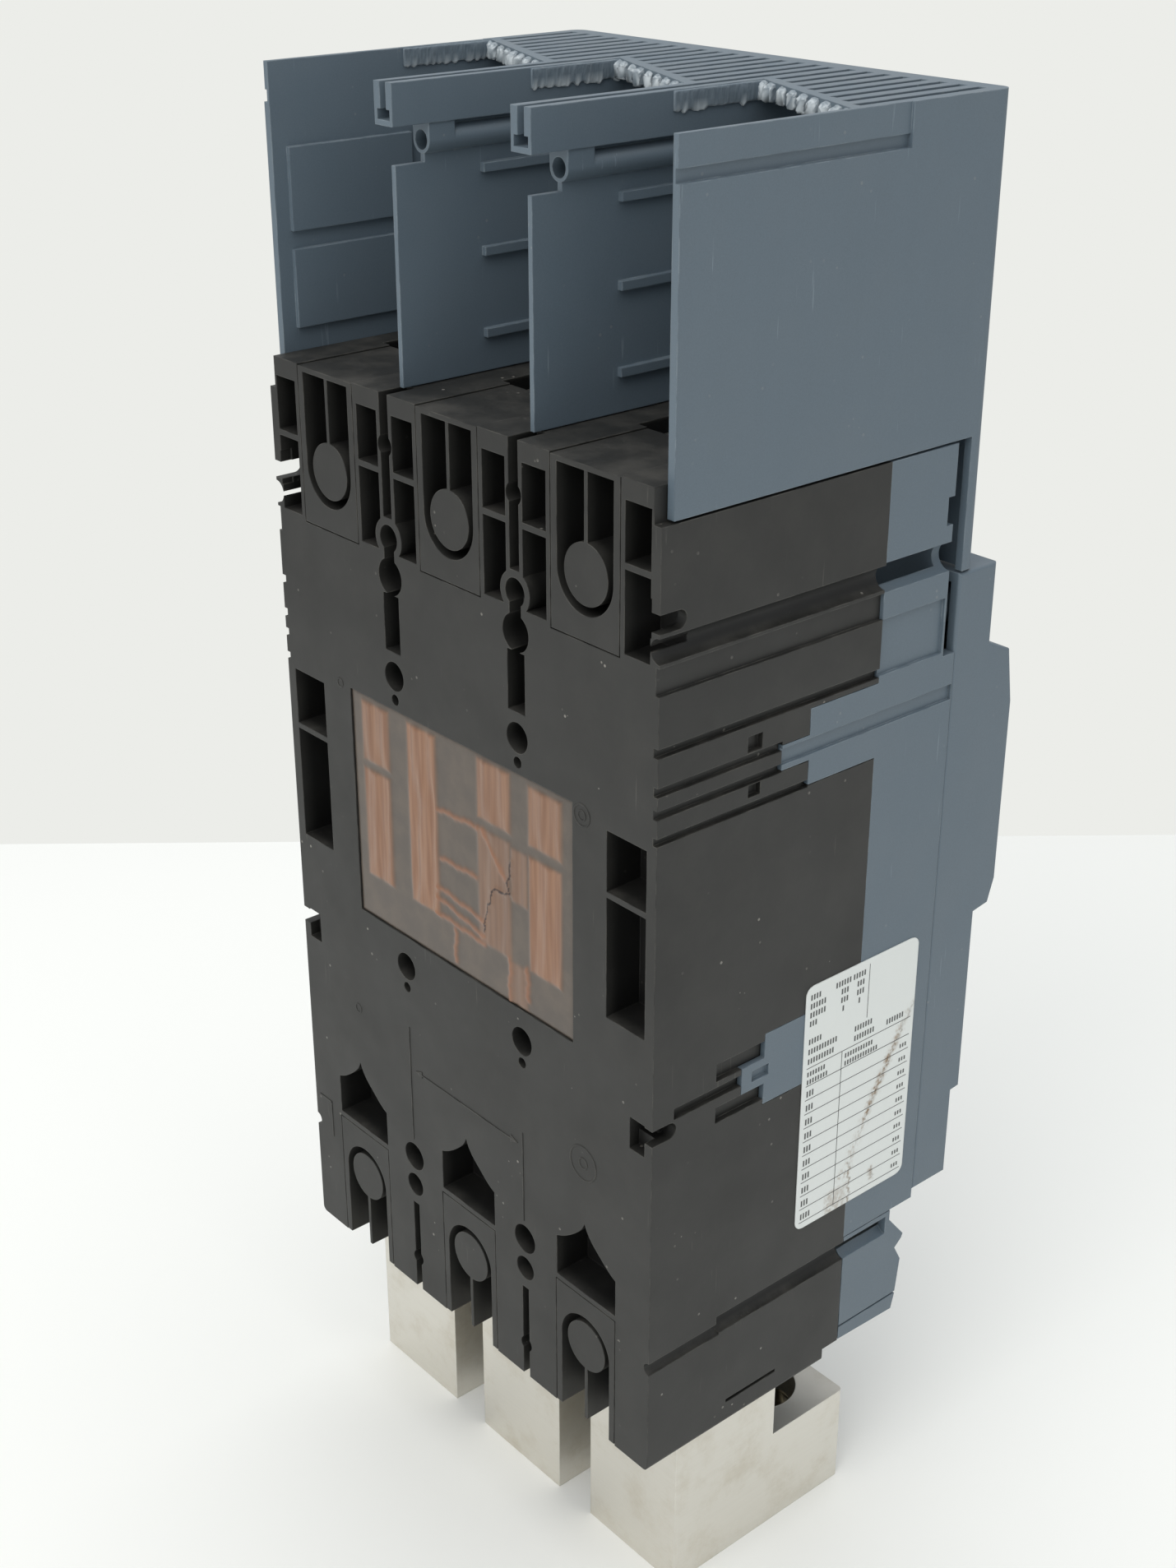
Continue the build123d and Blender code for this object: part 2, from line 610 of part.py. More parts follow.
with BuildPart() as front_lid:
    prism_x(lid_outline, (-half_width, half_width))
    fillet(front_lid.faces().sort_by(Axis.X)[0].edges() + front_lid.faces().sort_by(Axis.X)[-1].edges(), 0.8)
    prism_x(lid_outline, (-half_width + shell, half_width - shell), Mode.SUBTRACT, inset=shell)
    block((-half_width + shell, half_width - shell), (cover_front - 1, cover_front + shell + 0.5),
          (lid_bottom + shell, lid_top - shell), Mode.SUBTRACT)
    block((-slot_w / 2, slot_w / 2), (nose_front - 5, nose_front + 1),
          (handle_z - slot_h / 2, handle_z + slot_h / 2), Mode.SUBTRACT)
    window_xs = (window_x - window_half + 2, window_x + window_half - 2)
    block(window_xs, (cover_front + 5, trip_front + 1), (flap_z0 + 2, flap_z1 - 2), Mode.SUBTRACT)
    rod_y(button_x, button_z, (trip_front - 5, trip_front + 1), button_r + 0.3, Mode.SUBTRACT)
    for x in (window_x - window_half - 2.2, window_x + window_half + 0.2):
        block((x, x + 2), (trip_front - 0.5, hinge_depth), (hinge_z - ear_r, hinge_z + ear_r))
        rod_x(hinge_depth, hinge_z, (x, x + 2), ear_r)
        rod_x(hinge_depth, hinge_z, (x - 1, x + 3), pin_r + running_fit, Mode.SUBTRACT)
    for x in (-lid_screw_x, lid_screw_x):
        for z in lid_screw_z:
            rod_y(x, z, (cover_front + 1, shoulder_front), 5.0)
            rod_y(x, z, (cover_front - 1, shoulder_front + 1), lid_screw_r + 0.3, Mode.SUBTRACT)
            rod_y(x, z, (shoulder_front - head_t, shoulder_front + 1), 2 * lid_screw_r + 0.3, Mode.SUBTRACT)
save(front_lid, "front_lid")

# ---------------------------------------------------------------- lower terminal cover
foot_seam = base_depth + shell_gap
foot_top = cover_bottom - shell_gap
foot_brow = base_depth + 17.5
foot_nose = base_depth + 23.3
foot_cover = [
    (foot_seam, foot_top), (foot_brow, foot_top), (foot_brow, foot_top - 3.0),
    (foot_nose, foot_top - 10.1), (foot_nose - 0.5, foot_top - 11.3), (foot_nose - 2.9, foot_top - 13.4),
    (foot_nose - 0.4, foot_top - 18.1), (foot_nose - 1.7, base_bottom + 7.3),
    (foot_nose - 2.7, base_bottom + 3.4), (foot_seam, base_bottom + 4.2),
]

with BuildPart() as lower_terminal_cover:
    prism_x(foot_cover, (-half_width, half_width))
    for pole in poles.values():
        bay = pole_pitch / 2 - shell
        block((pole - bay, pole + bay), (base_depth, base_depth + 17),
              (base_bottom + 3, cover_bottom - 4), Mode.SUBTRACT)
    for web in web_x:
        rod_y(web, mount_z[1], (base_depth, cover_front), mount_bore_r + driver_clear, Mode.SUBTRACT)
    for side in (-1, 1):
        side_round(side, foot_channel_z, (base_depth - 1, base_depth + 16), 2.7)
        side_band(side, (base_bottom + 8.0, base_bottom + 8.6), (base_depth - 1, base_depth + 30), 0.6)
save(lower_terminal_cover, "lower_terminal_cover")


# ---------------------------------------------------------------- extended terminal cover
tc_top = base_top + tc_height
tc_bottom = tc_rest + tc_ledge
tc_front = cover_front + tc_front_gap


def bay_top(x_low, x_high):
    """Louvred top of one bay, broken off along a slanting line."""
    front = tc_front - tc_wall
    with BuildSketch(Plane.XY.offset(tc_top - tc_top_t)) as top:
        with BuildLine():
            Polyline((x_low, -front), (x_high, -front), (x_high, -top_break_far),
                     (x_low, -top_break_near), close=True)
        make_face()
    extrude(top.sketch, amount=tc_top_t)
    span = louvre_pitch * (louvres - 1)
    middle = (x_low + x_high) / 2
    for index in range(louvres):
        x = middle - span / 2 + index * louvre_pitch
        share = (x - x_low) / (x_high - x_low)
        start = top_break_near + (top_break_far - top_break_near) * share + 3
        block((x - louvre_w / 2, x + louvre_w / 2), (start, tc_front - 5),
              (tc_top - tc_top_t - 1, tc_top + 1), Mode.SUBTRACT)


def partition(x):
    """Inner partition with its T-slot beam, screw tube and stiffening ribs."""
    front = tc_front - tc_wall
    top_face = tc_top - 17.4
    block((x - partition_t / 2, x + partition_t / 2), (5.4, front), (base_top + 0.3, top_face))
    block((x - partition_t / 2, x + partition_t / 2), (tube_back + 0.2, front), (top_face, tc_top - beam_h))
    block((x - beam_w / 2, x + beam_w / 2), (tc_back, front), (tc_top - beam_h, tc_top))
    tube_z = tc_top - tube_drop
    block((x - tube_r, x + tube_r), (tube_back, tube_back + tube_boss_len), (tube_z, tc_top - beam_h))
    rod_y(x, tube_z, (tube_back, front), tube_r)
    rod_y(x, tube_z, (tube_back - 1, tube_back + tube_bore_len), tube_bore_r, Mode.SUBTRACT)
    foot = tc_top - beam_h + slot_floor
    block((x - slot_foot_w / 2, x + slot_foot_w / 2), (0, front - 4), (foot, foot + slot_foot_h), Mode.SUBTRACT)
    block((x - slot_neck / 2, x + slot_neck / 2), (0, front - 4), (foot, tc_top + 1), Mode.SUBTRACT)
    for drop in partition_rib_drops:
        block((x - 1.9, x + 1.9), (28.5, front), (tc_top - drop - 1, tc_top - drop + 1))


with BuildPart() as terminal_cover:
    for side in (-1, 1):
        wall = sorted((side * (half_width - tc_wall), side * half_width))
        block(wall, (tc_back, tc_front), (tc_bottom, tc_top))
        for low, high in ((tc_top - 38, tc_top - 19), (tc_top - 60.5, tc_top - 42.2)):
            pad = sorted((side * (half_width - tc_wall - 1), side * (half_width - tc_wall)))
            block(pad, (7.2, 42), (low, high))
        leg = sorted((side * (half_width - tc_wall), side * half_width))
        block(leg, (cover_front + 0.3, cover_front + tc_leg_depth + 0.3), (lid_top + 0.6, tc_bottom))
    block((-half_width, half_width), (tc_front - tc_wall, tc_front), (tc_bottom, tc_top))
    block((-half_width, half_width), (tc_front - 2.5, tc_front - 0.5), (lid_top + 0.6, tc_bottom))
    front_corners = terminal_cover.edges().filter_by(Axis.Z).group_by(Axis.Y)[0]
    fillet(front_corners.filter_by(lambda edge: edge.length > tc_height), tc_corner_r)
    for side in (-1, 1):
        rail_bottom = tc_top - rail_h
        rail = sorted((side * (half_width - rail_sink), side * (half_width + 1)))
        block(rail, (0, rail_len), (rail_bottom, tc_top + 1), Mode.SUBTRACT)
        groove = sorted((side * (half_width - rail_groove_sink), side * (half_width + 1)))
        block(groove, (0, rail_len), (rail_bottom - rail_groove_h, rail_bottom), Mode.SUBTRACT)
    for web in web_x:
        partition(web)
    clear = beam_w / 2
    bay_top(-half_width + tc_wall, web_x[0] - clear)
    bay_top(web_x[0] + clear, web_x[1] - clear)
    bay_top(web_x[1] + clear, half_width - tc_wall)
save(terminal_cover, "terminal_cover")


# ---------------------------------------------------------------- current path of each pole
def drill_terminal(x, z, radius, depths):
    """Through hole for a terminal screw."""
    rod_y(x, z, depths, radius, Mode.SUBTRACT)


upper_pad_z = (rotor_z + arm_reach - 2 - pad_len, rotor_z + arm_reach - 2)
lower_pad_z = (2 * rotor_z - upper_pad_z[1], 2 * rotor_z - upper_pad_z[0])
load_top = lower_pad_z[1] + 2

load_outline = [
    (load_bar_back, load_top), (load_bar_front, load_top), (load_bar_front, jog_z - bar_t),
    (line_bar_front, jog_z - bar_t), (line_bar_front, base_bottom + 4), (bar_back, base_bottom + 4),
    (bar_back, jog_z), (load_bar_back, jog_z),
]

for pole_name, pole in poles.items():
    bar = (pole - bar_w / 2, pole + bar_w / 2)

    with BuildPart() as line_terminal:
        block(bar, (bar_back, line_bar_front), (line_bar_end, base_top - 2))
        drill_terminal(pole, terminal_z, terminal_screw_r + 0.2, (bar_back - 1, line_bar_front + 1))
    save(line_terminal, f"line_terminal_{pole_name}")

    with BuildPart() as load_terminal:
        prism_x(load_outline, bar)
        drill_terminal(pole, -terminal_z, terminal_screw_r + 0.2, (bar_back - 1, line_bar_front + 1))
    save(load_terminal, f"load_terminal_{pole_name}")

    arm_tilt = turned(rotor_depth, rotor_z, contact_swing)
    arm = (pole - arm_w / 2, pole + arm_w / 2)
    arm_heights = (rotor_z - arm_reach, rotor_z + arm_reach)
    with BuildPart() as moving_contact:
        block(arm, (rotor_depth - arm_half_t, rotor_depth + arm_half_t), arm_heights, at=arm_tilt)
        block(arm, (rotor_depth - arm_half_t - arm_pad_t, rotor_depth - arm_half_t), upper_pad_z, at=arm_tilt)
        block(arm, (rotor_depth + arm_half_t, rotor_depth + arm_half_t + arm_pad_t), lower_pad_z, at=arm_tilt)
    save(moving_contact, f"moving_contact_{pole_name}")

with BuildPart() as fixed_contacts:
    for pole in poles.values():
        arm = (pole - arm_w / 2, pole + arm_w / 2)
        block(arm, (line_bar_front, line_bar_front + fixed_pad_t), upper_pad_z)
        block(arm, (load_bar_back - fixed_pad_t, load_bar_back), lower_pad_z)
save(fixed_contacts, "fixed_contacts")

with BuildPart() as contact_rotor:
    end = half_width - side_wall - 0.5
    rod_x(rotor_depth, rotor_z, (-end, end), shaft_r)
    for pole in poles.values():
        rod_x(rotor_depth, rotor_z, (pole - rotor_half, pole + rotor_half), rotor_r)
        block((pole - arm_w / 2 - 0.1, pole + arm_w / 2 + 0.1),
              (rotor_depth - arm_half_t - 0.1, rotor_depth + arm_half_t + 0.1),
              (rotor_z - 2 * rotor_r, rotor_z + 2 * rotor_r), Mode.SUBTRACT,
              turned(rotor_depth, rotor_z, contact_swing))
save(contact_rotor, "contact_rotor")


# ---------------------------------------------------------------- arc chutes
def arc_chute(x, heights, first_depth, notch_at_bottom):
    """Stack of notched steel plates between two fibre cheeks."""
    for side in (-1, 1):
        cheek = sorted((x + side * (chute_half - cheek_t), x + side * chute_half))
        last = first_depth + chute_plate_pitch * (chute_plates - 1) + chute_plate_t + 2
        block(cheek, (floor_depth + 0.3, last), heights)
    half = chute_half - cheek_t
    for index in range(chute_plates):
        depth = first_depth + index * chute_plate_pitch
        block((x - half, x + half), (depth, depth + chute_plate_t), (heights[0] + 1, heights[1] - 1))
    notch_z = (heights[0] - 1, heights[0] + 9) if notch_at_bottom else (heights[1] - 9, heights[1] + 1)
    reach = (first_depth - 1, first_depth + chute_plates * chute_plate_pitch)
    block((x - 5.5, x + 5.5), reach, notch_z, Mode.SUBTRACT)


lower_chute_start = load_bar_back - 1.5 - (chute_plates - 1) * chute_plate_pitch - chute_plate_t
for pole_name, pole in poles.items():
    with BuildPart() as arc_chute_upper:
        arc_chute(pole, (chute_z0, chute_z1), line_bar_front + 1.5, True)
    save(arc_chute_upper, f"arc_chute_upper_{pole_name}")

    with BuildPart() as arc_chute_lower:
        arc_chute(pole, (chute_low_z0, chute_low_z1), lower_chute_start, False)
    save(arc_chute_lower, f"arc_chute_lower_{pole_name}")

# ---------------------------------------------------------------- wire lugs and clamp screws
lug_foot = base_bottom - lug_height
lug_step_z = base_bottom - lug_step_drop
lug_outline = [
    (lug_back, lug_foot), (lug_front, lug_foot), (lug_front, lug_step_z), (lug_step_depth, lug_step_z),
    (lug_step_depth, base_bottom - lug_gap), (lug_back, base_bottom - lug_gap),
]
lug_screw_z = lug_foot + lug_screw_rise
tongue_d = (line_bar_front + 0.05, line_bar_front + bar_t)

for pole_name, pole in poles.items():
    with BuildPart() as wire_lug:
        prism_x(lug_outline, (pole - lug_w / 2, pole + lug_w / 2))
        fillet(wire_lug.edges().group_by(Axis.Y)[0].filter_by(Axis.Z), 1.2)
        block((pole - bar_w / 2, pole + bar_w / 2), tongue_d,
              (base_bottom - 1, base_bottom + lug_tongue_len))
        rod_z(pole, wire_bore_depth, (lug_foot - 1, lug_step_z + 1), wire_bore_r, Mode.SUBTRACT)
        rod_y(pole, lug_screw_z, (wire_bore_depth, lug_front + 1), lug_screw_r + thread_fit, Mode.SUBTRACT)
        drill_terminal(pole, -terminal_z, terminal_screw_r + 0.2, (line_bar_front, tongue_d[1] + 1))
    save(wire_lug, f"wire_lug_{pole_name}")

    tip = wire_bore_depth + wire_bore_r
    with BuildPart() as lug_screw:
        rod_y(pole, lug_screw_z, (tip, tip + lug_screw_len), lug_screw_r)
        with BuildSketch(Plane.XZ.offset(tip + lug_screw_len - 6)) as socket:
            with Locations((pole, lug_screw_z)):
                RegularPolygon(3.4, 6)
        extrude(amount=7, mode=Mode.SUBTRACT)
    save(lug_screw, f"lug_screw_{pole_name}")

with BuildPart() as terminal_screws:
    for pole in poles.values():
        rod_y(pole, -terminal_z, (insert_depth - nut_t - 2, tongue_d[1]), terminal_screw_r)
        rod_y(pole, -terminal_z, (tongue_d[1], tongue_d[1] + 7), 6.5)
        block((pole - 2.6, pole + 2.6), (tongue_d[1] + 3, tongue_d[1] + 8),
              (-terminal_z - 2.6, -terminal_z + 2.6), Mode.SUBTRACT)
save(terminal_screws, "terminal_screws")

with BuildPart() as terminal_nuts:
    for pole in poles.values():
        for z in (terminal_z, -terminal_z):
            block((pole - nut_w / 2, pole + nut_w / 2), (insert_depth - nut_t - 0.3, insert_depth - 0.3),
                  (z - nut_w / 2, z + nut_w / 2))
            rod_y(pole, z, (0, insert_depth), terminal_screw_r + thread_fit, Mode.SUBTRACT)
save(terminal_nuts, "terminal_nuts")

# ---------------------------------------------------------------- operating mechanism
mech_front = cover_inner - 1.5
yoke_half = mech_half - mech_plate_t - 1.0
yoke_t = 1.5
yoke_front = cover_front - 2.0
rest_tilt = turned(handle_pivot_depth, handle_z, handle_swing / 2)

with BuildPart() as mechanism_side_plates:
    for side in (-1, 1):
        xs = sorted((side * (mech_half - mech_plate_t), side * mech_half))
        prism_x([(mech_back, handle_z - 22), (mech_front, handle_z - 14), (mech_front, handle_z + 28),
                 (mech_front - 10, handle_z + 34), (mech_back, handle_z + 34)], xs)
        rod_x(handle_pivot_depth, handle_z, (xs[0] - 1, xs[1] + 1), pivot_pin_r + running_fit, Mode.SUBTRACT)
        rod_x(cradle_pin_depth, cradle_pin_z, (xs[0] - 1, xs[1] + 1), cradle_pin_r + running_fit,
              Mode.SUBTRACT)
save(mechanism_side_plates, "mechanism_side_plates")

with BuildPart() as handle_yoke:
    for side in (-1, 1):
        leg = sorted((side * (yoke_half - yoke_t), side * yoke_half))
        block(leg, (handle_pivot_depth, yoke_front), (handle_z - 4, handle_z + 4), at=rest_tilt)
        rod_x(handle_pivot_depth, handle_z, leg, 5.0)
        pin = sorted((side * (yoke_half - 0.5), side * (mech_half + 1)))
        rod_x(handle_pivot_depth, handle_z, pin, pivot_pin_r)
    block((-yoke_half, yoke_half), (yoke_front - yoke_t, yoke_front), (handle_z - 4, handle_z + 4), at=rest_tilt)
save(handle_yoke, "handle_yoke")

shield_r = nose_front - shell - 1.0 - handle_pivot_depth
shield_angle = degrees(asin(slot_h / 2 / shield_r)) + handle_swing / 2

with BuildPart() as toggle_handle:
    block((-handle_w / 2, handle_w / 2), (yoke_front, nose_front + 6),
          (handle_z - handle_t / 2, handle_z + handle_t / 2), at=rest_tilt)
    prism_x([(nose_front + 5, handle_z - handle_t / 2), (nose_front + handle_out, handle_z - 3.5),
             (nose_front + handle_out, handle_z + 3.5), (nose_front + 5, handle_z + handle_t / 2)],
            (-handle_w / 2, handle_w / 2), at=rest_tilt)
    with BuildSketch(Plane(rest_tilt * Plane.YZ.offset(-slot_w / 2 - 2).location)) as shield:
        with BuildLine():
            centre = (-handle_pivot_depth, handle_z)
            outer_arc = CenterArc(centre, shield_r, 180 - shield_angle, 2 * shield_angle)
            inner_arc = CenterArc(centre, shield_r - shield_t, 180 - shield_angle, 2 * shield_angle)
            Line(outer_arc @ 0, inner_arc @ 0)
            Line(outer_arc @ 1, inner_arc @ 1)
        make_face()
    extrude(shield.sketch, amount=slot_w + 4)
save(toggle_handle, "toggle_handle")

with BuildPart() as main_springs:
    for x in (-7.0, 7.0):
        with Locations(rest_tilt * Location((x, -(yoke_front - yoke_t + 60.0) / 2, handle_z), (90, 0, 0))):
            Cylinder(3.2, yoke_front - yoke_t - 60.0)
            Cylinder(1.9, yoke_front - yoke_t - 59.0, mode=Mode.SUBTRACT)
save(main_springs, "main_springs")

with BuildPart() as cradle:
    rod_x(cradle_pin_depth, cradle_pin_z, (-mech_half - 1, mech_half + 1), cradle_pin_r)
    block((-yoke_half + 1, yoke_half - 1), (58.0, cradle_pin_depth), (cradle_pin_z - 1.5, cradle_pin_z + 1.5))
    for x in (-yoke_half + 1, yoke_half - 3):
        block((x, x + 2), (57.0, 61.0), (cradle_pin_z - 6, cradle_pin_z + 1.5))
save(cradle, "cradle")

# ---------------------------------------------------------------- trip system
trip_half_len = button_x + 7
paddle_face = trip_bar_depth + trip_bar_r + 1.8
stem_tip = paddle_face + 0.2
flange_depth = trip_front - shell - 0.6

with BuildPart() as trip_bar:
    rod_x(trip_bar_depth, trip_bar_z, (-trip_half_len, trip_half_len), trip_bar_r)
    block((button_x - 4, button_x + 4), (trip_bar_depth + 1, paddle_face), (button_z - 3, trip_bar_z))
    block((-5, 5), (trip_bar_depth - 1, trip_bar_depth + 1), (trip_bar_z, trip_bar_z + 8))
save(trip_bar, "trip_bar")

with BuildPart() as trip_button:
    rod_y(button_x, button_z, (stem_tip, flange_depth), button_stem_r)
    rod_y(button_x, button_z, (flange_depth - 1.5, flange_depth), button_r + 1.3)
    rod_y(button_x, button_z, (flange_depth, trip_front + button_out), button_r)
    block((button_x - 3, button_x + 3), (trip_front + button_out - 1, trip_front + button_out + 1),
          (button_z - 0.6, button_z + 0.6), Mode.SUBTRACT)
save(trip_button, "trip_button")

with BuildPart() as trip_button_spring:
    rod_y(button_x, button_z, (cover_front, flange_depth - 1.6), button_spring_r)
    rod_y(button_x, button_z, (cover_front - 1, flange_depth), 3.0, Mode.SUBTRACT)
save(trip_button_spring, "trip_button_spring")

case_back = trip_web_depth + 0.3
case_front = cover_inner - 0.5
island_front = trip_front - shell - 0.4
dial_z = (island_top + island_bottom) / 2

with BuildPart() as trip_unit_case:
    block((-trip_half, trip_half), (case_back, case_front), (trip_bottom, trip_top))
    block((-trip_island_half, trip_island_half), (case_front - 1, cover_front + 1),
          (island_bottom, island_top))
    block((window_xs[0] - 1, window_xs[1] + 1), (cover_front, island_front), (island_bottom, island_top))
    block((-trip_half + trip_wall, trip_half - trip_wall), (case_back - 1, case_front - trip_wall),
          (trip_bottom + trip_wall, trip_top - trip_wall), Mode.SUBTRACT)
    for x in (-trip_half + 6, trip_half - 10):
        block((x, x + 4), (case_back + 12, case_front), (trip_bottom, trip_top))
    for x in dial_x:
        rod_y(x, dial_z, (island_front - 4, island_front + 1), dial_r + running_fit, Mode.SUBTRACT)
save(trip_unit_case, "trip_unit_case")

with BuildPart() as trip_unit_board:
    block((-trip_half + 4, trip_half - 4), (case_back + 10.2, case_back + 10.2 + board_t),
          (trip_bottom + 3, trip_top - 3))
    for x in (-35, -12, 14, 38):
        block((x - 6, x + 6), (case_back + 10.2 + board_t, case_back + 15), (dial_z - 8, dial_z + 4))
save(trip_unit_board, "trip_unit_board")

for dial_name, x in zip(("overload_dial", "short_circuit_dial"), dial_x):
    with BuildPart() as dial:
        rod_y(x, dial_z, (island_front - 3.8, island_front + 0.9), dial_r)
        block((x - 0.7, x + 0.7), (island_front - 0.6, island_front + 2),
              (dial_z - 3.6, dial_z + 3.6), Mode.SUBTRACT)
        block((x - 0.7, x + 0.7), (island_front - 0.6, island_front + 2),
              (dial_z, dial_z + dial_r), Mode.SUBTRACT)
    save(dial, dial_name)

with BuildPart() as setting_window:
    block((window_x - window_half, window_x + window_half), (hinge_depth - 0.8, hinge_depth - 0.8 + window_t),
          (hinge_z, flap_z1))
    rod_x(hinge_depth, hinge_z, (window_x - window_half, window_x + window_half), pin_r + 0.3)
    rod_x(hinge_depth, hinge_z, (window_x - window_half - 2, window_x + window_half + 2), pin_r)
    block((window_x - 6, window_x + 6), (hinge_depth - 0.8, hinge_depth + 2.2), (flap_z1 - 1.5, flap_z1))
save(setting_window, "setting_window")

for pole_name, pole in poles.items():
    with BuildPart() as current_transformer:
        block((pole - ct_w / 2, pole + ct_w / 2), (floor_depth + 0.3, floor_depth + 0.3 + ct_depth),
              (ct_bottom, ct_top))
        fillet(current_transformer.edges().filter_by(Axis.Z), 4)
        block((pole - bar_w / 2 - 0.6, pole + bar_w / 2 + 0.6), (bar_back - 0.6, line_bar_front + 0.6),
              (ct_bottom - 1, ct_top + 1), Mode.SUBTRACT)
    save(current_transformer, f"current_transformer_{pole_name}")

# ---------------------------------------------------------------- fasteners
with BuildPart() as cover_screws:
    for web in web_x:
        for z in cover_screw_z:
            rod_y(web, z, (floor_depth + 8, cover_front - head_t), cover_screw_r)
            rod_y(web, z, (cover_front - head_t - 0.2, cover_front - 0.2), 2 * cover_screw_r)
            block((web - 2.6, web + 2.6), (cover_front - 1.4, cover_front + 1), (z - 0.5, z + 0.5),
                  Mode.SUBTRACT)
save(cover_screws, "cover_screws")

with BuildPart() as lid_screws:
    for x in (-lid_screw_x, lid_screw_x):
        for z in lid_screw_z:
            start = (cover_end_front if z > cover_step_z else cover_front) - 10
            rod_y(x, z, (start, shoulder_front - head_t + 0.2), lid_screw_r)
            rod_y(x, z, (shoulder_front - head_t + 0.1, shoulder_front - 0.3), 2 * lid_screw_r)
            block((x - 2.2, x + 2.2), (shoulder_front - 1.4, shoulder_front + 1), (z - 0.5, z + 0.5),
                  Mode.SUBTRACT)
save(lid_screws, "lid_screws")
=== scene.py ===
# %% [markdown]
# # A three-pole moulded-case circuit breaker, seen from behind
#
# The breaker stands upright on three cast wire lugs. Its base is black thermoset, its front
# shells and the tall terminal cover are blue-grey thermoplastic, and a copper-brown film is
# stuck into a bed in the back. The solid pieces come from the CAD model, so their shapes are
# right already. This lesson gives each of them a finish, and adds what a CAD model leaves
# out: the wrinkled film, the creased label and its print, the torn plastic where the louvred
# top was broken away, screw threads, springs and the fine marks left by the mould.

from math import cos, pi, radians, sin

import bpy
import numpy as np
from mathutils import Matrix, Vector


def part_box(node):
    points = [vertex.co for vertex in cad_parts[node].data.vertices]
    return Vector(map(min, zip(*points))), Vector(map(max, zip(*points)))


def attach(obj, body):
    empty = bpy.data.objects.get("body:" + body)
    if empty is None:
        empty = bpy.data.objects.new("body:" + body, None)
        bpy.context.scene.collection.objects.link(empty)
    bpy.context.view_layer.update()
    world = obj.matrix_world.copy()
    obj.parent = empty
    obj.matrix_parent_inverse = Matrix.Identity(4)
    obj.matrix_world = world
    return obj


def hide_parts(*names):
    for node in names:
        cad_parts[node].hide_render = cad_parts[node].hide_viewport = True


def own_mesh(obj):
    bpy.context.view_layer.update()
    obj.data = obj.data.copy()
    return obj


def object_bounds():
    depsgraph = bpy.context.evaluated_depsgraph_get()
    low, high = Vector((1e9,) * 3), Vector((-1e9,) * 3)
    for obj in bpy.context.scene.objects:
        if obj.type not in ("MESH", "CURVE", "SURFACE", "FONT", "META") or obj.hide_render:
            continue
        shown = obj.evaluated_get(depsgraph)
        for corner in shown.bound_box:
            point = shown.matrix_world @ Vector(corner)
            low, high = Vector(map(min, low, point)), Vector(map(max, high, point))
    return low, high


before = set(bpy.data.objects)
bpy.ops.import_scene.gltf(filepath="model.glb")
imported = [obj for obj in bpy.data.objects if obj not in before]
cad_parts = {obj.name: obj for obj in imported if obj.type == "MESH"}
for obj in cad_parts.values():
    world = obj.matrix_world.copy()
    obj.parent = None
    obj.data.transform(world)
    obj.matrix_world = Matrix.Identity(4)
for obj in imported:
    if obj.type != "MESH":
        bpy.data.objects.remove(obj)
cad_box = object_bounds()
MM = 0.001
pole_pitch = 46 * MM
half_width = 1.5 * pole_pitch
poles = {"left": -pole_pitch, "centre": 0.0, "right": pole_pitch}
webs = (-pole_pitch / 2, pole_pitch / 2)

# %% [markdown]
# ## Camera
#
# The camera looks down on the back and the left side of the breaker from about 25 degrees.
# A lens of 49 mm on a 36 mm sensor gives the strong vertical convergence of a close view.
# `to_track_quat` turns a viewing direction into a rotation with no roll.

# %% Camera
eye = Vector((-0.3594576, 0.2685708, 0.2510111))
looking = Vector((0.6836, -0.5877, -0.4327))
camera_data = bpy.data.cameras.new("camera")
camera_data.lens = 49.06
camera_data.sensor_width = 36.0
camera = bpy.data.objects.new("camera", camera_data)
camera.location = eye
camera.rotation_mode = "QUATERNION"
camera.rotation_quaternion = looking.to_track_quat("-Z", "Y")
bpy.context.scene.collection.objects.link(camera)
bpy.context.scene.camera = camera
print("camera at", tuple(round(x, 3) for x in eye))

# %% [markdown]
# ## Node helpers
#
# Every finish below is a small tree of shader nodes, and these helpers keep the trees short.
# `paint` turns a colour as a designer writes it into Blender's linear colour, `add` places a
# node and wires its inputs, and `start_group` begins a node group with named sockets. The
# others each stand for one node that is used often: noise, a stretch of space, a colour
# mix, a sum and a soft step.


# %% Node helpers
def paint(red, green, blue):
    """Linear colour of an sRGB colour given as 0 to 255 per channel."""
    srgb = np.array((red, green, blue)) / 255
    linear = np.where(srgb <= 0.04045, srgb / 12.92, ((srgb + 0.055) / 1.055) ** 2.4)
    return (*linear.tolist(), 1.0)


def add(tree, kind, inputs=None, **settings):
    """Adds one shader node; an input is a plain value or another node's output."""
    made = tree.nodes.new(kind)
    for name, value in settings.items():
        setattr(made, name, value)
    for name, value in (inputs or {}).items():
        if isinstance(value, bpy.types.NodeSocket):
            tree.links.new(value, made.inputs[name])
        else:
            made.inputs[name].default_value = value
    return made


def maths(tree, operation, first, second=0.0, clamp=False):
    """Result socket of a Math node."""
    return add(tree, "ShaderNodeMath", {0: first, 1: second}, operation=operation, use_clamp=clamp).outputs[0]


def blend_colours(tree, share, first, second, how="MIX"):
    """Result socket of a colour Mix node."""
    made = tree.nodes.new("ShaderNodeMix")
    made.data_type = "RGBA"
    made.blend_type = how
    for index, value in ((0, share), (6, first), (7, second)):
        if isinstance(value, bpy.types.NodeSocket):
            tree.links.new(value, made.inputs[index])
        else:
            made.inputs[index].default_value = value
    return made.outputs[2]


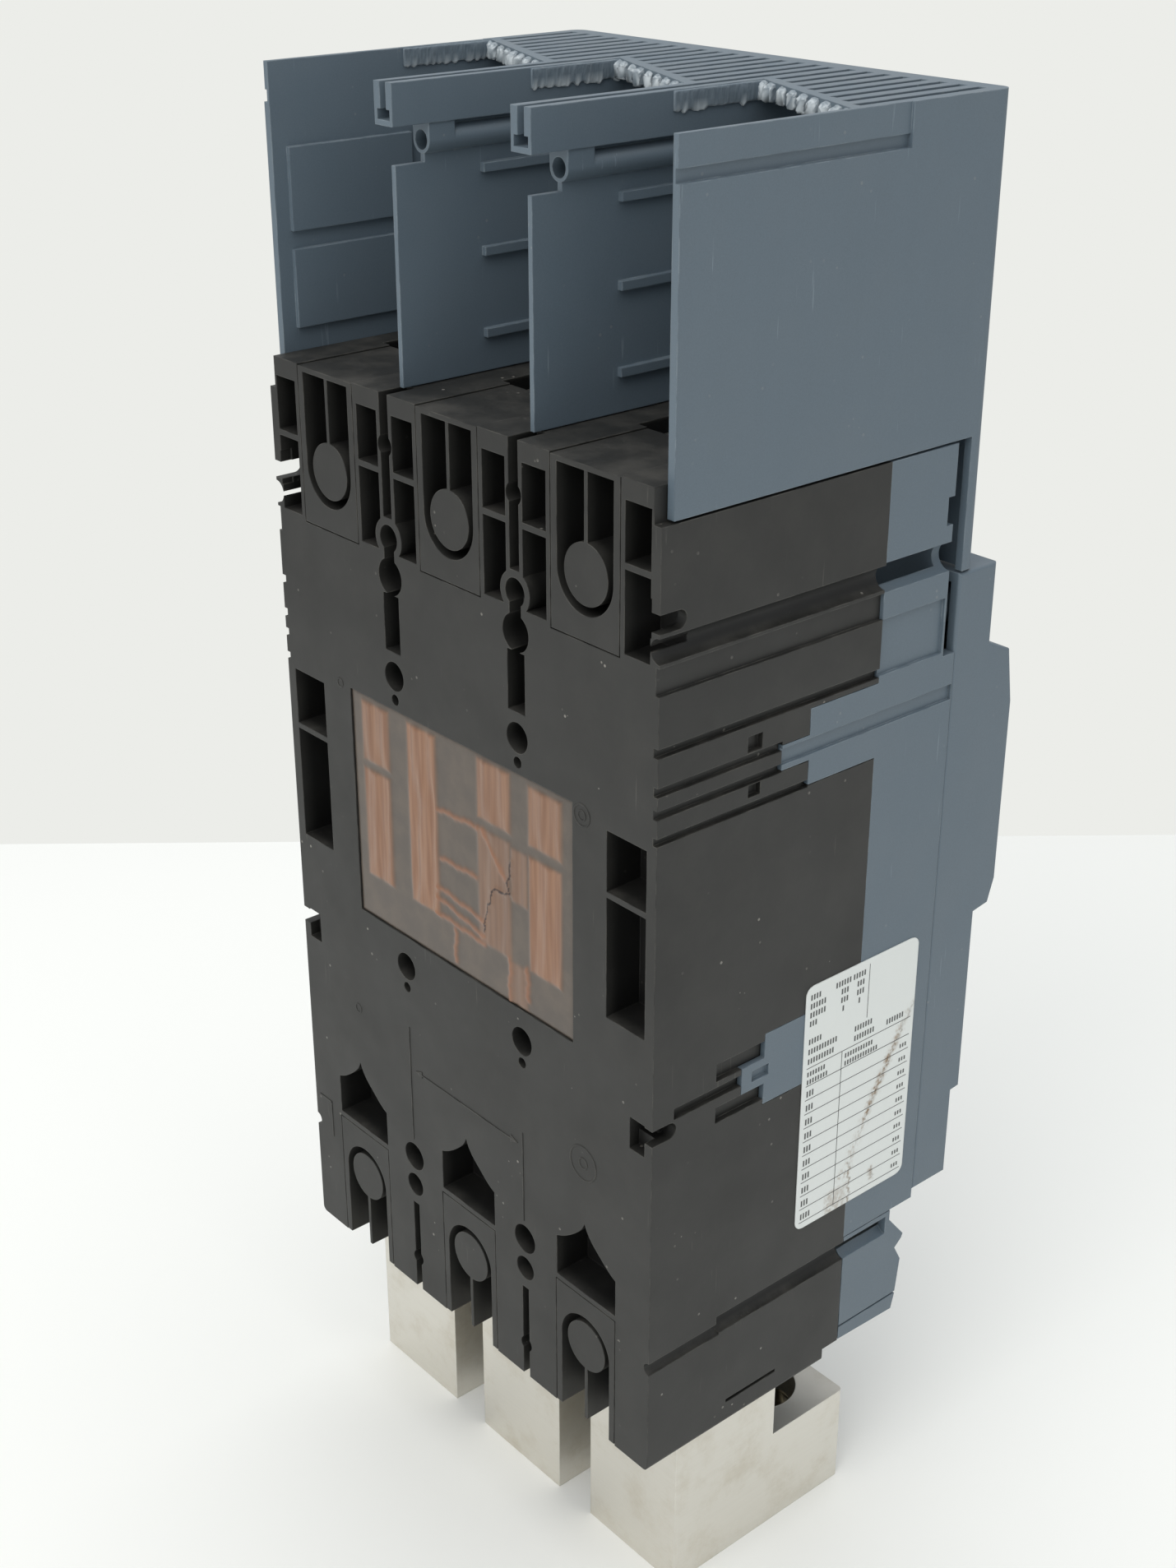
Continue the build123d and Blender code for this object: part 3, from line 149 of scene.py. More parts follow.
def fade(tree, value, low, high):
    """Goes from 0 to 1 as the value goes from low to high, with soft ends."""
    made = add(tree, "ShaderNodeMapRange", {"Value": value, "From Min": low, "From Max": high},
               interpolation_type="SMOOTHSTEP")
    return made.outputs[0]


def noise(tree, where, scale, detail=2.0, roughness=0.5):
    """Result socket of a Noise Texture; the scale is in cells per metre."""
    settings = {"Vector": where, "Scale": scale, "Detail": detail, "Roughness": roughness}
    return add(tree, "ShaderNodeTexNoise", settings).outputs[0]


def stretch(tree, where, scale, turn=(0.0, 0.0, 0.0)):
    """Result socket of a Mapping node: space turned, then scaled along its axes."""
    return add(tree, "ShaderNodeMapping", {"Vector": where, "Rotation": turn, "Scale": scale}).outputs[0]


def object_space(tree):
    """Position in the object's own space, which is the frame of the whole breaker."""
    return add(tree, "ShaderNodeTexCoord").outputs["Object"]


def start_group(name, inputs, outputs):
    """Empty node group with its sockets; each is (kind, name) or (kind, name, value)."""
    group = bpy.data.node_groups.new(name, "ShaderNodeTree")
    for row in inputs:
        socket = group.interface.new_socket(row[1], in_out="INPUT", socket_type="NodeSocket" + row[0])
        if len(row) > 2:
            socket.default_value = row[2]
    for kind, label in outputs:
        group.interface.new_socket(label, in_out="OUTPUT", socket_type="NodeSocket" + kind)
    return group, group.nodes.new("NodeGroupInput"), group.nodes.new("NodeGroupOutput")


# %% [markdown]
# ## Shared effects as node groups
#
# Old moulded plastic is never one flat colour. Up close it has a fine spark-eroded grain, a
# slow cloudiness where the compound flowed, a few pale specks, and thin pale lines along its
# edges where it has rubbed. Each effect is one group, so that every material can use it with
# its own amounts.

# %% Group: moulded skin
skin, skin_in, skin_out = start_group(
    "moulded skin",
    [("Color", "Colour"), ("Float", "Cloud amount", 0.15), ("Float", "Grain size", 0.0004),
     ("Float", "Roughness", 0.5), ("Float", "Speck amount", 0.0)],
    [("Color", "Colour"), ("Float", "Roughness"), ("Float", "Height")],
)
where = object_space(skin)
frequency = maths(skin, "DIVIDE", 1.0, skin_in.outputs["Grain size"])
grain = noise(skin, where, frequency)
cloud = noise(skin, where, 38.0, 5.0, 0.6)
streak = noise(skin, stretch(skin, where, (240.0, 240.0, 30.0)), 1.0, 3.0)
speck = add(skin, "ShaderNodeTexVoronoi", {"Vector": where, "Scale": 330.0}).outputs["Distance"]
speck_gate = fade(skin, noise(skin, where, 90.0), 0.56, 0.68)
speck_mask = maths(skin, "MULTIPLY", maths(skin, "LESS_THAN", speck, 0.12), speck_gate)
speck_mask = maths(skin, "MULTIPLY", speck_mask, skin_in.outputs["Speck amount"])
off_cloud = maths(skin, "SUBTRACT", cloud, 0.5)
off_streak = maths(skin, "SUBTRACT", streak, 0.5)
off_grain = maths(skin, "SUBTRACT", grain, 0.5)
tone = maths(skin, "ADD", off_cloud, maths(skin, "MULTIPLY", off_streak, 0.5))
tone = maths(skin, "MULTIPLY", tone, skin_in.outputs["Cloud amount"])
tone = maths(skin, "ADD", tone, maths(skin, "MULTIPLY", off_grain, 0.22))
tone = maths(skin, "ADD", tone, 1.0)
toned = add(skin, "ShaderNodeVectorMath", {0: skin_in.outputs["Colour"], "Scale": tone}, operation="SCALE")
specked = blend_colours(skin, speck_mask, toned.outputs[0], paint(168, 164, 156))
rough = maths(skin, "ADD", skin_in.outputs["Roughness"], maths(skin, "MULTIPLY", off_cloud, 0.3))
skin.links.new(specked, skin_out.inputs["Colour"])
skin.links.new(rough, skin_out.inputs["Roughness"])
skin.links.new(grain, skin_out.inputs["Height"])

# %% Group: worn edges
# The Bevel node bends the normal near a sharp edge. How far it bends is a mask of the edges.
wear, wear_in, wear_out = start_group(
    "worn edges",
    [("Color", "Colour"), ("Color", "Wear colour"), ("Float", "Amount", 0.5)],
    [("Color", "Colour"), ("Vector", "Normal")],
)
rounded = add(wear, "ShaderNodeBevel", {"Radius": 0.00035}, samples=4).outputs[0]
flat = add(wear, "ShaderNodeNewGeometry").outputs["Normal"]
bend = add(wear, "ShaderNodeVectorMath", {0: rounded, 1: flat}, operation="DOT_PRODUCT").outputs["Value"]
edge = fade(wear, maths(wear, "SUBTRACT", 1.0, bend), 0.004, 0.09)
patch_noise = noise(wear, object_space(wear), 160.0, 4.0)
edge = maths(wear, "MULTIPLY", edge, fade(wear, patch_noise, 0.38, 0.62))
edge = maths(wear, "MULTIPLY", edge, wear_in.outputs["Amount"], clamp=True)
wear.links.new(blend_colours(wear, edge, wear_in.outputs["Colour"], wear_in.outputs["Wear colour"]),
               wear_out.inputs["Colour"])
wear.links.new(rounded, wear_out.inputs["Normal"])

# %% Group: hairline scratches
# Long thin cells of noise, gated by a slow noise so that they come in groups.
scratch, scratch_in, scratch_out = start_group(
    "hairline scratches",
    [("Vector", "Turn", (0.0, 0.0, 0.0)), ("Float", "Amount", 0.5)],
    [("Float", "Mask")],
)
where = object_space(scratch)
lines = noise(scratch, stretch(scratch, where, (1300.0, 1300.0, 60.0), scratch_in.outputs["Turn"]), 1.0, 1.0)
gate = noise(scratch, where, 55.0)
mask = maths(scratch, "MULTIPLY", fade(scratch, lines, 0.70, 0.76), fade(scratch, gate, 0.55, 0.66))
mask = maths(scratch, "MULTIPLY", mask, scratch_in.outputs["Amount"])
scratch.links.new(mask, scratch_out.inputs["Mask"])

# %% Group: settled dust
# Dust lies on faces that look up and in patches elsewhere; it is pale and quite rough.
dust, dust_in, dust_out = start_group(
    "settled dust",
    [("Color", "Colour"), ("Float", "Roughness", 0.5), ("Float", "Amount", 0.3)],
    [("Color", "Colour"), ("Float", "Roughness")],
)
coords = add(dust, "ShaderNodeTexCoord")
up = add(dust, "ShaderNodeSeparateXYZ", {0: coords.outputs["Normal"]}).outputs[2]
patches = noise(dust, coords.outputs["Object"], 70.0, 6.0, 0.65)
lying = maths(dust, "ADD", fade(dust, up, 0.3, 1.0), 0.25)
lying = maths(dust, "MULTIPLY", lying, fade(dust, patches, 0.38, 0.75))
lying = maths(dust, "MULTIPLY", lying, dust_in.outputs["Amount"], clamp=True)
dust.links.new(blend_colours(dust, lying, dust_in.outputs["Colour"], paint(150, 146, 138)),
               dust_out.inputs["Colour"])
rougher = maths(dust, "MULTIPLY", lying, 0.3)
dust.links.new(maths(dust, "ADD", dust_in.outputs["Roughness"], rougher, clamp=True),
               dust_out.inputs["Roughness"])
print("node groups:", [group.name for group in bpy.data.node_groups])


# %% [markdown]
# ## Moulded plastics
#
# The base is a glass-filled thermoset: nearly black, matt, with pale specks of filler and
# pale rubbed edges. The shells are a blue-grey thermoplastic with a satin spark grain. The
# same chain makes both: skin, then worn edges, then dust, then scratches. The pockets in the
# back hold no dust and send back no light, so on the black ones a painted shade deepens with depth.


# %% Moulded plastics
def use(tree, group, inputs):
    """Places a node group in a material."""
    made = tree.nodes.new("ShaderNodeGroup")
    made.node_tree = group
    for name, value in inputs.items():
        if isinstance(value, bpy.types.NodeSocket):
            tree.links.new(value, made.inputs[name])
        else:
            made.inputs[name].default_value = value
    return made


def new_finish(name):
    """New material: returns it, its tree and its Principled shader."""
    material = bpy.data.materials.new(name)
    material.use_nodes = True
    return material, material.node_tree, material.node_tree.nodes["Principled BSDF"]


def pocket_painted_shade(tree):
    """Share of painted pocket shade: none on the back, side and end faces, full at the floor of a pocket."""
    most, shallow, deep = 0.85, 0.3 * MM, 4.0 * MM
    side_from, side_to = half_width - 2.7 * MM, half_width - 1.7 * MM
    end_from, end_to = 123.2 * MM, 123.8 * MM
    spot = add(tree, "ShaderNodeSeparateXYZ", {0: object_space(tree)})
    inward = fade(tree, maths(tree, "MULTIPLY", spot.outputs[1], -1.0), shallow, deep)
    off_side = fade(tree, maths(tree, "ABSOLUTE", spot.outputs[0]), side_from, side_to)
    off_end = fade(tree, maths(tree, "ABSOLUTE", spot.outputs[2]), end_from, end_to)
    within = maths(tree, "SUBTRACT", 1.0, off_side)
    ends = maths(tree, "SUBTRACT", 1.0, off_end)
    inside = maths(tree, "MULTIPLY", inward, within)
    return maths(tree, "MULTIPLY", inside, maths(tree, "MULTIPLY", ends, most))


def moulded(name, colour, worn, roughness, cloud=0.15, grain=0.0004, specks=0.0, wear_amount=0.5,
            dusty=0.3, scratched=0.3, bump=0.03, painted_pocket_shade=False):
    """A moulded plastic: skin, worn edges, dust and scratches, with its grain as a bump, and painted shade in
    its pockets if asked.
    """
    material, tree, shader = new_finish(name)
    base = use(tree, skin, {"Colour": colour, "Cloud amount": cloud, "Grain size": grain,
                            "Roughness": roughness, "Speck amount": specks})
    edged = use(tree, wear, {"Colour": base.outputs["Colour"], "Wear colour": worn, "Amount": wear_amount})
    dusted = use(tree, dust, {"Colour": edged.outputs["Colour"], "Roughness": base.outputs["Roughness"],
                              "Amount": dusty})
    marks = use(tree, scratch, {"Turn": (0.5, 0.3, 0.0), "Amount": scratched})
    marked = blend_colours(tree, marks.outputs["Mask"], dusted.outputs["Colour"], worn)
    if painted_pocket_shade:
        # Painted shade: by depth, the pockets of the black parts are darkened towards near black.
        marked = blend_colours(tree, pocket_painted_shade(tree), marked, paint(9, 9, 9))
    bumped = add(tree, "ShaderNodeBump", {"Height": base.outputs["Height"], "Normal": edged.outputs["Normal"],
                                          "Strength": 0.5, "Distance": bump * MM})
    tree.links.new(marked, shader.inputs["Base Color"])
    tree.links.new(dusted.outputs["Roughness"], shader.inputs["Roughness"])
    tree.links.new(bumped.outputs[0], shader.inputs["Normal"])
    return material


# The two black thermosets carry painted shade in their pockets.
black_thermoset = moulded("black thermoset", paint(33, 33, 31), paint(112, 110, 103), 0.52, cloud=0.16,
                          grain=0.00045, specks=0.5, wear_amount=0.5, dusty=0.1, scratched=0.2, painted_pocket_shade=True)
plate_thermoset = moulded("thermoset of the slide-in plates", paint(34, 34, 32), paint(112, 110, 103), 0.52,
                          cloud=0.16, specks=0.3, wear_amount=0.5, dusty=0.1, scratched=0.15, painted_pocket_shade=True)
grey_plastic = moulded("blue-grey thermoplastic", paint(94, 108, 119), paint(158, 170, 177), 0.46, cloud=0.08,
                       grain=0.00028, specks=0.2, wear_amount=0.6, dusty=0.08, scratched=0.3, bump=0.02)
torn_plastic = moulded("torn thermoplastic", paint(92, 106, 117), paint(176, 187, 193), 0.55, cloud=0.5,
                       grain=0.0009, specks=0.5, wear_amount=1.0, dusty=0.1, scratched=0.5, bump=0.12)

# %% Torn plastic
# The attribute `frayed` whitens it where the stretched plastic has turned pale.
tree = torn_plastic.node_tree
torn_shader = tree.nodes["Principled BSDF"]
frayed = add(tree, "ShaderNodeAttribute", attribute_name="frayed").outputs["Fac"]
whole_colour = torn_shader.inputs["Base Color"].links[0].from_socket
whitened = blend_colours(tree, frayed, whole_colour, paint(214, 222, 226))
tree.links.new(whitened, torn_shader.inputs["Base Color"])

# %% Small mouldings
toggle_plastic = moulded("black toggle plastic", paint(28, 28, 29), paint(88, 88, 88), 0.38, wear_amount=0.4)
rotor_plastic = moulded("rotor thermoset", paint(96, 40, 30), paint(140, 80, 66), 0.45, cloud=0.3)
trip_plastic = moulded("white trip bar plastic", paint(214, 212, 204), paint(235, 233, 226), 0.42, dusty=0.1)
button_plastic = moulded("red button plastic", paint(176, 30, 26), paint(206, 92, 84), 0.32, dusty=0.15)
dial_plastic = moulded("pale dial plastic", paint(206, 204, 196), paint(232, 230, 224), 0.4, dusty=0.1)
transformer_tape = moulded("transformer tape", paint(34, 34, 40), paint(70, 70, 76), 0.35, cloud=0.3)
print("moulded finishes:", len([m for m in bpy.data.materials if m.use_nodes]))


# %% [markdown]
# ## Metals
#
# The lugs are tin-plated aluminium, cut from bar: pale, with faint saw lines and dull
# yellowish stains. Bars are silvered copper and screws are zinc-plated steel.
# One function makes them all from a colour, a stain and how strong the brushing is.


# %% Metals
def metal(name, colour, stain, roughness, brushed=0.25, stained=0.4):
    """A plated metal with brushing, stains and rubbed edges."""
    material, tree, shader = new_finish(name)
    where = object_space(tree)
    lines = noise(tree, stretch(tree, where, (60.0, 60.0, 1500.0)), 1.0, 3.0)
    cloud = noise(tree, where, 60.0, 7.0, 0.68)
    blot = maths(tree, "MULTIPLY", fade(tree, cloud, 0.45, 0.72), stained)
    tinted = blend_colours(tree, blot, colour, stain)
    edged = use(tree, wear, {"Colour": tinted, "Wear colour": paint(240, 238, 232), "Amount": 0.35})
    off_lines = maths(tree, "SUBTRACT", lines, 0.5)
    rough = maths(tree, "ADD", maths(tree, "MULTIPLY", off_lines, brushed), roughness)
    rough = maths(tree, "ADD", rough, maths(tree, "MULTIPLY", blot, 0.3), clamp=True)
    bumped = add(tree, "ShaderNodeBump", {"Height": lines, "Normal": edged.outputs["Normal"],
                                          "Strength": 0.35, "Distance": 0.04 * MM})
    shader.inputs["Metallic"].default_value = 1.0
    tree.links.new(edged.outputs["Colour"], shader.inputs["Base Color"])
    tree.links.new(rough, shader.inputs["Roughness"])
    tree.links.new(bumped.outputs[0], shader.inputs["Normal"])
    return material


lug_metal = metal("tin-plated lug", paint(222, 219, 211), paint(186, 174, 150), 0.4, brushed=0.3, stained=0.3)
silvered_copper = metal("silvered copper", paint(222, 214, 200), paint(196, 140, 104), 0.3)
contact_silver = metal("contact silver", paint(226, 224, 220), paint(120, 112, 104), 0.35)
zinc_steel = metal("zinc-plated steel", paint(196, 198, 198), paint(150, 146, 132), 0.32)
spring_steel = metal("spring steel", paint(150, 150, 150), paint(90, 86, 80), 0.28)
chute_steel = metal("arc chute steel", paint(176, 176, 174), paint(112, 104, 96), 0.42)
screw_steel = metal("lug screw", paint(178, 170, 152), paint(120, 100, 70), 0.35, stained=0.6)

# %% [markdown]
# ## Board, fibre and window
#
# A circuit board is green lacquer over fine copper tracks, drawn here with a brick pattern.
# The setting window is clear plastic: full transmission, with a plain refraction value.

# %% Board, fibre and window
board_lacquer, tree, shader = new_finish("board lacquer")
facing = stretch(tree, object_space(tree), (1.0, 1.0, 1.0), (radians(90), 0.0, 0.0))
lacquer = {"Color1": paint(26, 92, 52), "Color2": paint(30, 102, 58), "Mortar": paint(70, 140, 84)}
tracks = add(tree, "ShaderNodeTexBrick", {"Vector": facing, "Scale": 90.0, "Mortar Size": 0.03, **lacquer})
tree.links.new(tracks.outputs["Color"], shader.inputs["Base Color"])
shader.inputs["Roughness"].default_value = 0.3
shader.inputs["Coat Weight"].default_value = 0.5

clear_window, tree, shader = new_finish("clear setting window")
shader.inputs["Base Color"].default_value = paint(236, 240, 240)
shader.inputs["Transmission Weight"].default_value = 1.0
shader.inputs["IOR"].default_value = 1.49
window_grain = noise(tree, object_space(tree), 120.0, 4.0)
tree.links.new(maths(tree, "MULTIPLY", window_grain, 0.22), shader.inputs["Roughness"])

# %% [markdown]
# ## Finishes for the CAD nodes
#
# Each node keeps its mesh and gets its finish by name. A longer name is looked for first, so
# one short word can cover three poles.

# %% Finishes for the CAD nodes
finishes = {
    "base_housing": black_thermoset, "upper_insert": plate_thermoset, "lower_insert": plate_thermoset,
    "front_cover": grey_plastic, "front_lid": grey_plastic, "lower_terminal_cover": grey_plastic,
    "terminal_cover": grey_plastic, "wire_lug": lug_metal, "line_terminal": silvered_copper,
    "load_terminal": silvered_copper, "fixed_contacts": contact_silver, "moving_contact": silvered_copper,
    "contact_rotor": rotor_plastic, "arc_chute": chute_steel, "mechanism_side_plates": zinc_steel,
    "handle_yoke": zinc_steel, "cradle": zinc_steel, "toggle_handle": toggle_plastic,
    "trip_bar": trip_plastic, "trip_button": button_plastic, "trip_unit_case": toggle_plastic,
    "trip_unit_board": board_lacquer, "overload_dial": dial_plastic, "short_circuit_dial": dial_plastic,
    "setting_window": clear_window, "current_transformer": transformer_tape,
    "terminal_screws": zinc_steel, "terminal_nuts": zinc_steel, "cover_screws": zinc_steel,
    "lid_screws": zinc_steel,
}


def set_finish(piece, material):
    """One material over the whole piece."""
    if piece.material_slots:
        for slot in piece.material_slots:
            slot.material = material
    else:
        piece.data.materials.append(material)


for node_name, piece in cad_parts.items():
    match = [word for word in sorted(finishes, key=len, reverse=True) if node_name.startswith(word)]
    if match:
        set_finish(piece, finishes[match[0]])
print("finished nodes:", sum(any(n.startswith(w) for w in finishes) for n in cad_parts))


# %% [markdown]
# ## From arrays to pieces
#
# A new piece is worked out with numpy. `skin_over` joins a grid of points into quads; it can
# close the grid round on itself and cap both ends. `bars` makes many boxes at once, `sheet`
# closes two grids into a thin sheet, and `coil` gives the points of a spring.


# %% From arrays to pieces
def place(name, mesh, material, body):
    """New piece from a finished mesh, on a body."""
    mesh.update()
    piece = bpy.data.objects.new(name, mesh)
    bpy.context.scene.collection.objects.link(piece)
    mesh.materials.append(material)
    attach(piece, body)
    return piece


def skin_over(name, grid, material, body, wrap=False, caps=False, smooth=True, frayed=None):
    """Mesh over grid[row, column, xyz]: quads between rows, closed in columns if wrap is set."""
    rows, columns = grid.shape[:2]
    index = np.arange(rows * columns).reshape(rows, columns)
    right = np.roll(index, -1, axis=1) if wrap else index[:, 1:]
    left = index if wrap else index[:, :-1]
    quads = np.stack((left[:-1], right[:-1], right[1:], left[1:]), axis=-1).reshape(-1, 4)
    points = grid.reshape(-1, 3)
    faces = quads.tolist()
    if caps:
        faces.append(index[0, ::-1].tolist())
        faces.append(index[-1].tolist())
    mesh = bpy.data.meshes.new(name)
    mesh.from_pydata(points.tolist(), [], faces)
    mesh.polygons.foreach_set("use_smooth", np.full(len(mesh.polygons), smooth))
    if frayed is not None:
        attribute = mesh.attributes.new("frayed", "FLOAT", "POINT")
        attribute.data.foreach_set("value", frayed.reshape(-1).astype(np.float32))
    return place(name, mesh, material, body)


def bars(name, low, high, material, body):
    """Closed boxes in one mesh, from arrays of their low and high corners."""
    low, high = np.asarray(low, float), np.asarray(high, float)
    picks = np.array([[i, j, k] for k in (0, 1) for j in (0, 1) for i in (0, 1)])
    points = np.where(picks[None], high[:, None], low[:, None]).reshape(-1, 3)
    sides = np.array([[0, 2, 3, 1], [4, 5, 7, 6], [0, 1, 5, 4], [2, 6, 7, 3], [0, 4, 6, 2], [1, 3, 7, 5]])
    faces = (sides[None] + 8 * np.arange(len(low))[:, None, None]).reshape(-1, 4)
    mesh = bpy.data.meshes.new(name)
    mesh.from_pydata(points.tolist(), [], faces.tolist())
    return place(name, mesh, material, body)


def coil(start, axis, across, radius, wire, turns, length, per_turn=20, sides=8):
    """Points of a coil spring: a circle carried along a helix whose end turns lie flat."""
    axis, across = np.array(axis, float), np.array(across, float)
    third = np.cross(axis, across)
    t = np.linspace(0, 1, int(turns * per_turn) + 1)[:, None]
    ease = np.clip((t * turns - 0.75) / (turns - 1.5), 0, 1)
    angle = 2 * pi * turns * t
    outward = np.cos(angle) * across + np.sin(angle) * third
    centre = np.array(start) + outward * radius + axis * (wire + ease * (length - 2 * wire))
    ring = np.linspace(0, 2 * pi, sides, endpoint=False)[None, :, None]
    return centre[:, None] + wire * (np.cos(ring) * outward[:, None] + np.sin(ring) * axis)


def sheet(name, front, back, attributes, material, node):
    """Closed thin sheet between two grids, with point attributes; it stands in for a CAD node."""
    rows, columns = front.shape[:2]
    index = np.arange(rows * columns).reshape(rows, columns)
    front_faces = np.stack((index[:-1, :-1], index[:-1, 1:], index[1:, 1:], index[1:, :-1]), axis=-1)
    front_faces = front_faces.reshape(-1, 4)
    back_faces = front_faces[:, ::-1] + rows * columns
    rim = np.concatenate((index[0], index[1:, -1], index[-1, -2::-1], index[-2:0:-1, 0]))
    rim_next = np.roll(rim, -1)
    rim_faces = np.stack((rim_next, rim, rim + rows * columns, rim_next + rows * columns), axis=-1)
    points = np.concatenate((front.reshape(-1, 3), back.reshape(-1, 3)))
    mesh = bpy.data.meshes.new(name)
    mesh.from_pydata(points.tolist(), [], np.concatenate((front_faces, back_faces, rim_faces)).tolist())
    mesh.polygons.foreach_set("use_smooth", np.full(len(mesh.polygons), True))
    for label, values in attributes.items():
        attribute = mesh.attributes.new(label, "FLOAT", "POINT")
        attribute.data.foreach_set("value", np.tile(values.reshape(-1), 2).astype(np.float32))
    piece = place(name, mesh, material, "housing")
    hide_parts(node)
    return piece


random = np.random.default_rng(7)
print("helpers ready")

# %% [markdown]
# ## The film in the back
#
# A thin copper-brown film is stuck into a shallow bed. Where it clings to the plastic it
# looks dark, and where it spans a pocket it stands free, looks bright and carries upright
# ripples. The sheet is a height over a grid: the height is the largest of some soft boxes,
# one for each pocket, times a ripple, with creases and the lips of a tear on top. The shares
# of lift, fold and tear are kept as attributes for the colour.

# %% The film: where it stands free
film_low, film_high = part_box("rear_insulating_film")
columns, rows = 226, 166
film_margin = 0.14 * MM
across = np.linspace(film_low.x - film_margin, film_high.x + film_margin, columns)
upward = np.linspace(film_low.z - film_margin, film_high.z + film_margin, rows)
film_x, film_z = np.meshgrid(across, upward)


def soft_box(x0, x1, z0, z1, soft=0.7):
    """1 inside the box, falling to 0 over a soft border; all sizes in millimetres."""
    x, z = film_x / MM, film_z / MM
    inside = np.minimum(np.minimum(x - x0, x1 - x), np.minimum(z - z0, z1 - z))
    return 1 / (1 + np.exp(-np.clip(inside / soft * 3, -30, 30)))


free_panels = [
    (27.0, 37.6, -2.2, 27.2, 1.0), (26.8, 37.6, 29.6, 45.2, 0.9), (8.2, 19.2, -2.2, 45.2, 1.1),
    (-19.6, -7.6, 30.6, 45.6, 0.9), (-19.4, -7.4, -2.4, 28.0, 0.6), (-25.6, -19.8, 13.4, 27.2, 0.6),
    (-37.8, -26.3, 30.4, 45.0, 0.9), (-37.6, -26.4, -2.4, 27.4, 1.0), (-25.2, -18.8, -14.0, -3.0, 0.5),
]
lift = np.zeros_like(film_x)
for x0, x1, z0, z1, amount in free_panels:
    lift = np.maximum(lift, amount * soft_box(x0, x1, z0, z1))
creases = [((7.6, 26.6), (-7.4, 27.6)), ((7.2, 13.8), (-6.4, 14.2)), ((8.6, 5.6), (-9.0, 3.4)),
           ((8.8, 2.6), (-9.0, -0.8)), ((9.0, -1.8), (-9.4, -2.8)), ((-9.0, 27.8), (-17.6, 18.0)),
           ((2.0, -3.6), (2.4, -12.4)), ((-18.9, -2.8), (-18.4, -14.2)), ((-25.2, -2.6), (-25.6, -11.0))]


wobble_x = 0.5 * np.sin(film_z / MM * 0.9 + 0.6) + 0.25 * np.sin(film_z / MM * 2.7 + film_x / MM)
wobble_z = 0.45 * np.sin(film_x / MM * 0.8 + 1.1) + 0.25 * np.sin(film_x / MM * 2.3 - film_z / MM)


def distance_to(start, end, wobble=0.45):
    """Distance in millimetres from each grid point to a wandering line between two points."""
    a, b = np.array(start), np.array(end)
    p = np.stack((film_x / MM + wobble * wobble_x, film_z / MM + wobble * wobble_z), axis=-1)
    t = np.clip(((p - a) @ (b - a)) / ((b - a) @ (b - a)), 0, 1)
    return np.linalg.norm(p - a - t[..., None] * (b - a), axis=-1)


fold = np.zeros_like(film_x)
for start, end in creases:
    fold = np.maximum(fold, np.exp(-((distance_to(start, end) / 0.75) ** 2)))
print("film grid", film_x.shape, "free share", round(float((lift > 0.4).mean()), 2))

# %% The film: ripples, tear and mesh
sway = 1.6 * np.sin(film_z / MM * 0.085) + 0.5 * np.sin(film_z / MM * 0.31)
wave = np.sin(film_x / MM * 0.95 + sway) + 0.25 * np.sin(film_x / MM * 2.1 + film_z / MM * 0.12)
tear_path = [(-19.9, 23.5), (-19.2, 21.4), (-19.8, 19.8), (-18.6, 17.2), (-19.4, 15.0), (-16.6, 14.0),
             (-14.2, 14.4), (-12.8, 13.0), (-12.4, 9.8), (-10.8, 8.6), (-10.6, 6.0), (-9.8, 3.4), (-9.3, 0.9)]
to_tear = np.min([distance_to(a, b, 0.3) for a, b in zip(tear_path[:-1], tear_path[1:])], axis=0)
lips = np.exp(-((to_tear / 0.8) ** 2))
rough_edge = 0.12 * np.sin(film_x / MM * 3.1) * np.sin(film_z / MM * 2.3)
seated, bulge, ripple_height, fold_height, lip_height, rim_drop = 0.45, 0.30, 0.22, 0.26, 0.3, 0.2
proud = seated + lift * (bulge + ripple_height * wave) + fold_height * fold
proud = proud + lip_height * lips * (1 + rough_edge)
rim_gap = np.minimum(np.minimum(film_x - across[0], across[-1] - film_x),
                     np.minimum(film_z - upward[0], upward[-1] - film_z)) / MM
proud = proud - rim_drop * np.exp(-rim_gap / 0.5)
film_y = film_low.y + proud * MM
film_grid = np.stack((film_x, film_y, film_z), axis=-1)[:, ::-1]
back_of_film = film_grid - np.array((0.0, 0.05 * MM, 0.0))

film_finish, tree, shader = new_finish("copper-brown film")
lifted = add(tree, "ShaderNodeAttribute", attribute_name="lift").outputs["Fac"]
torn = add(tree, "ShaderNodeAttribute", attribute_name="tear").outputs["Fac"]
folded = add(tree, "ShaderNodeAttribute", attribute_name="fold").outputs["Fac"]
where = object_space(tree)
cloud = noise(tree, where, 120.0, 6.0, 0.6)
streaks = noise(tree, stretch(tree, where, (900.0, 900.0, 40.0)), 1.0)
clinging = blend_colours(tree, fade(tree, cloud, 0.35, 0.7), paint(80, 72, 65), paint(94, 84, 75))
standing = blend_colours(tree, fade(tree, streaks, 0.25, 0.75), paint(128, 92, 70), paint(146, 110, 86))
mixed = blend_colours(tree, lifted, clinging, standing)
mixed = blend_colours(tree, maths(tree, "MULTIPLY", folded, 0.75), mixed, paint(142, 96, 68))
mixed = blend_colours(tree, torn, mixed, paint(46, 24, 18))
bumped = add(tree, "ShaderNodeBump", {"Height": cloud, "Strength": 0.4, "Distance": 0.1 * MM})
tree.links.new(mixed, shader.inputs["Base Color"])
tree.links.new(maths(tree, "ADD", maths(tree, "MULTIPLY", cloud, 0.25), 0.24), shader.inputs["Roughness"])
tree.links.new(bumped.outputs[0], shader.inputs["Normal"])

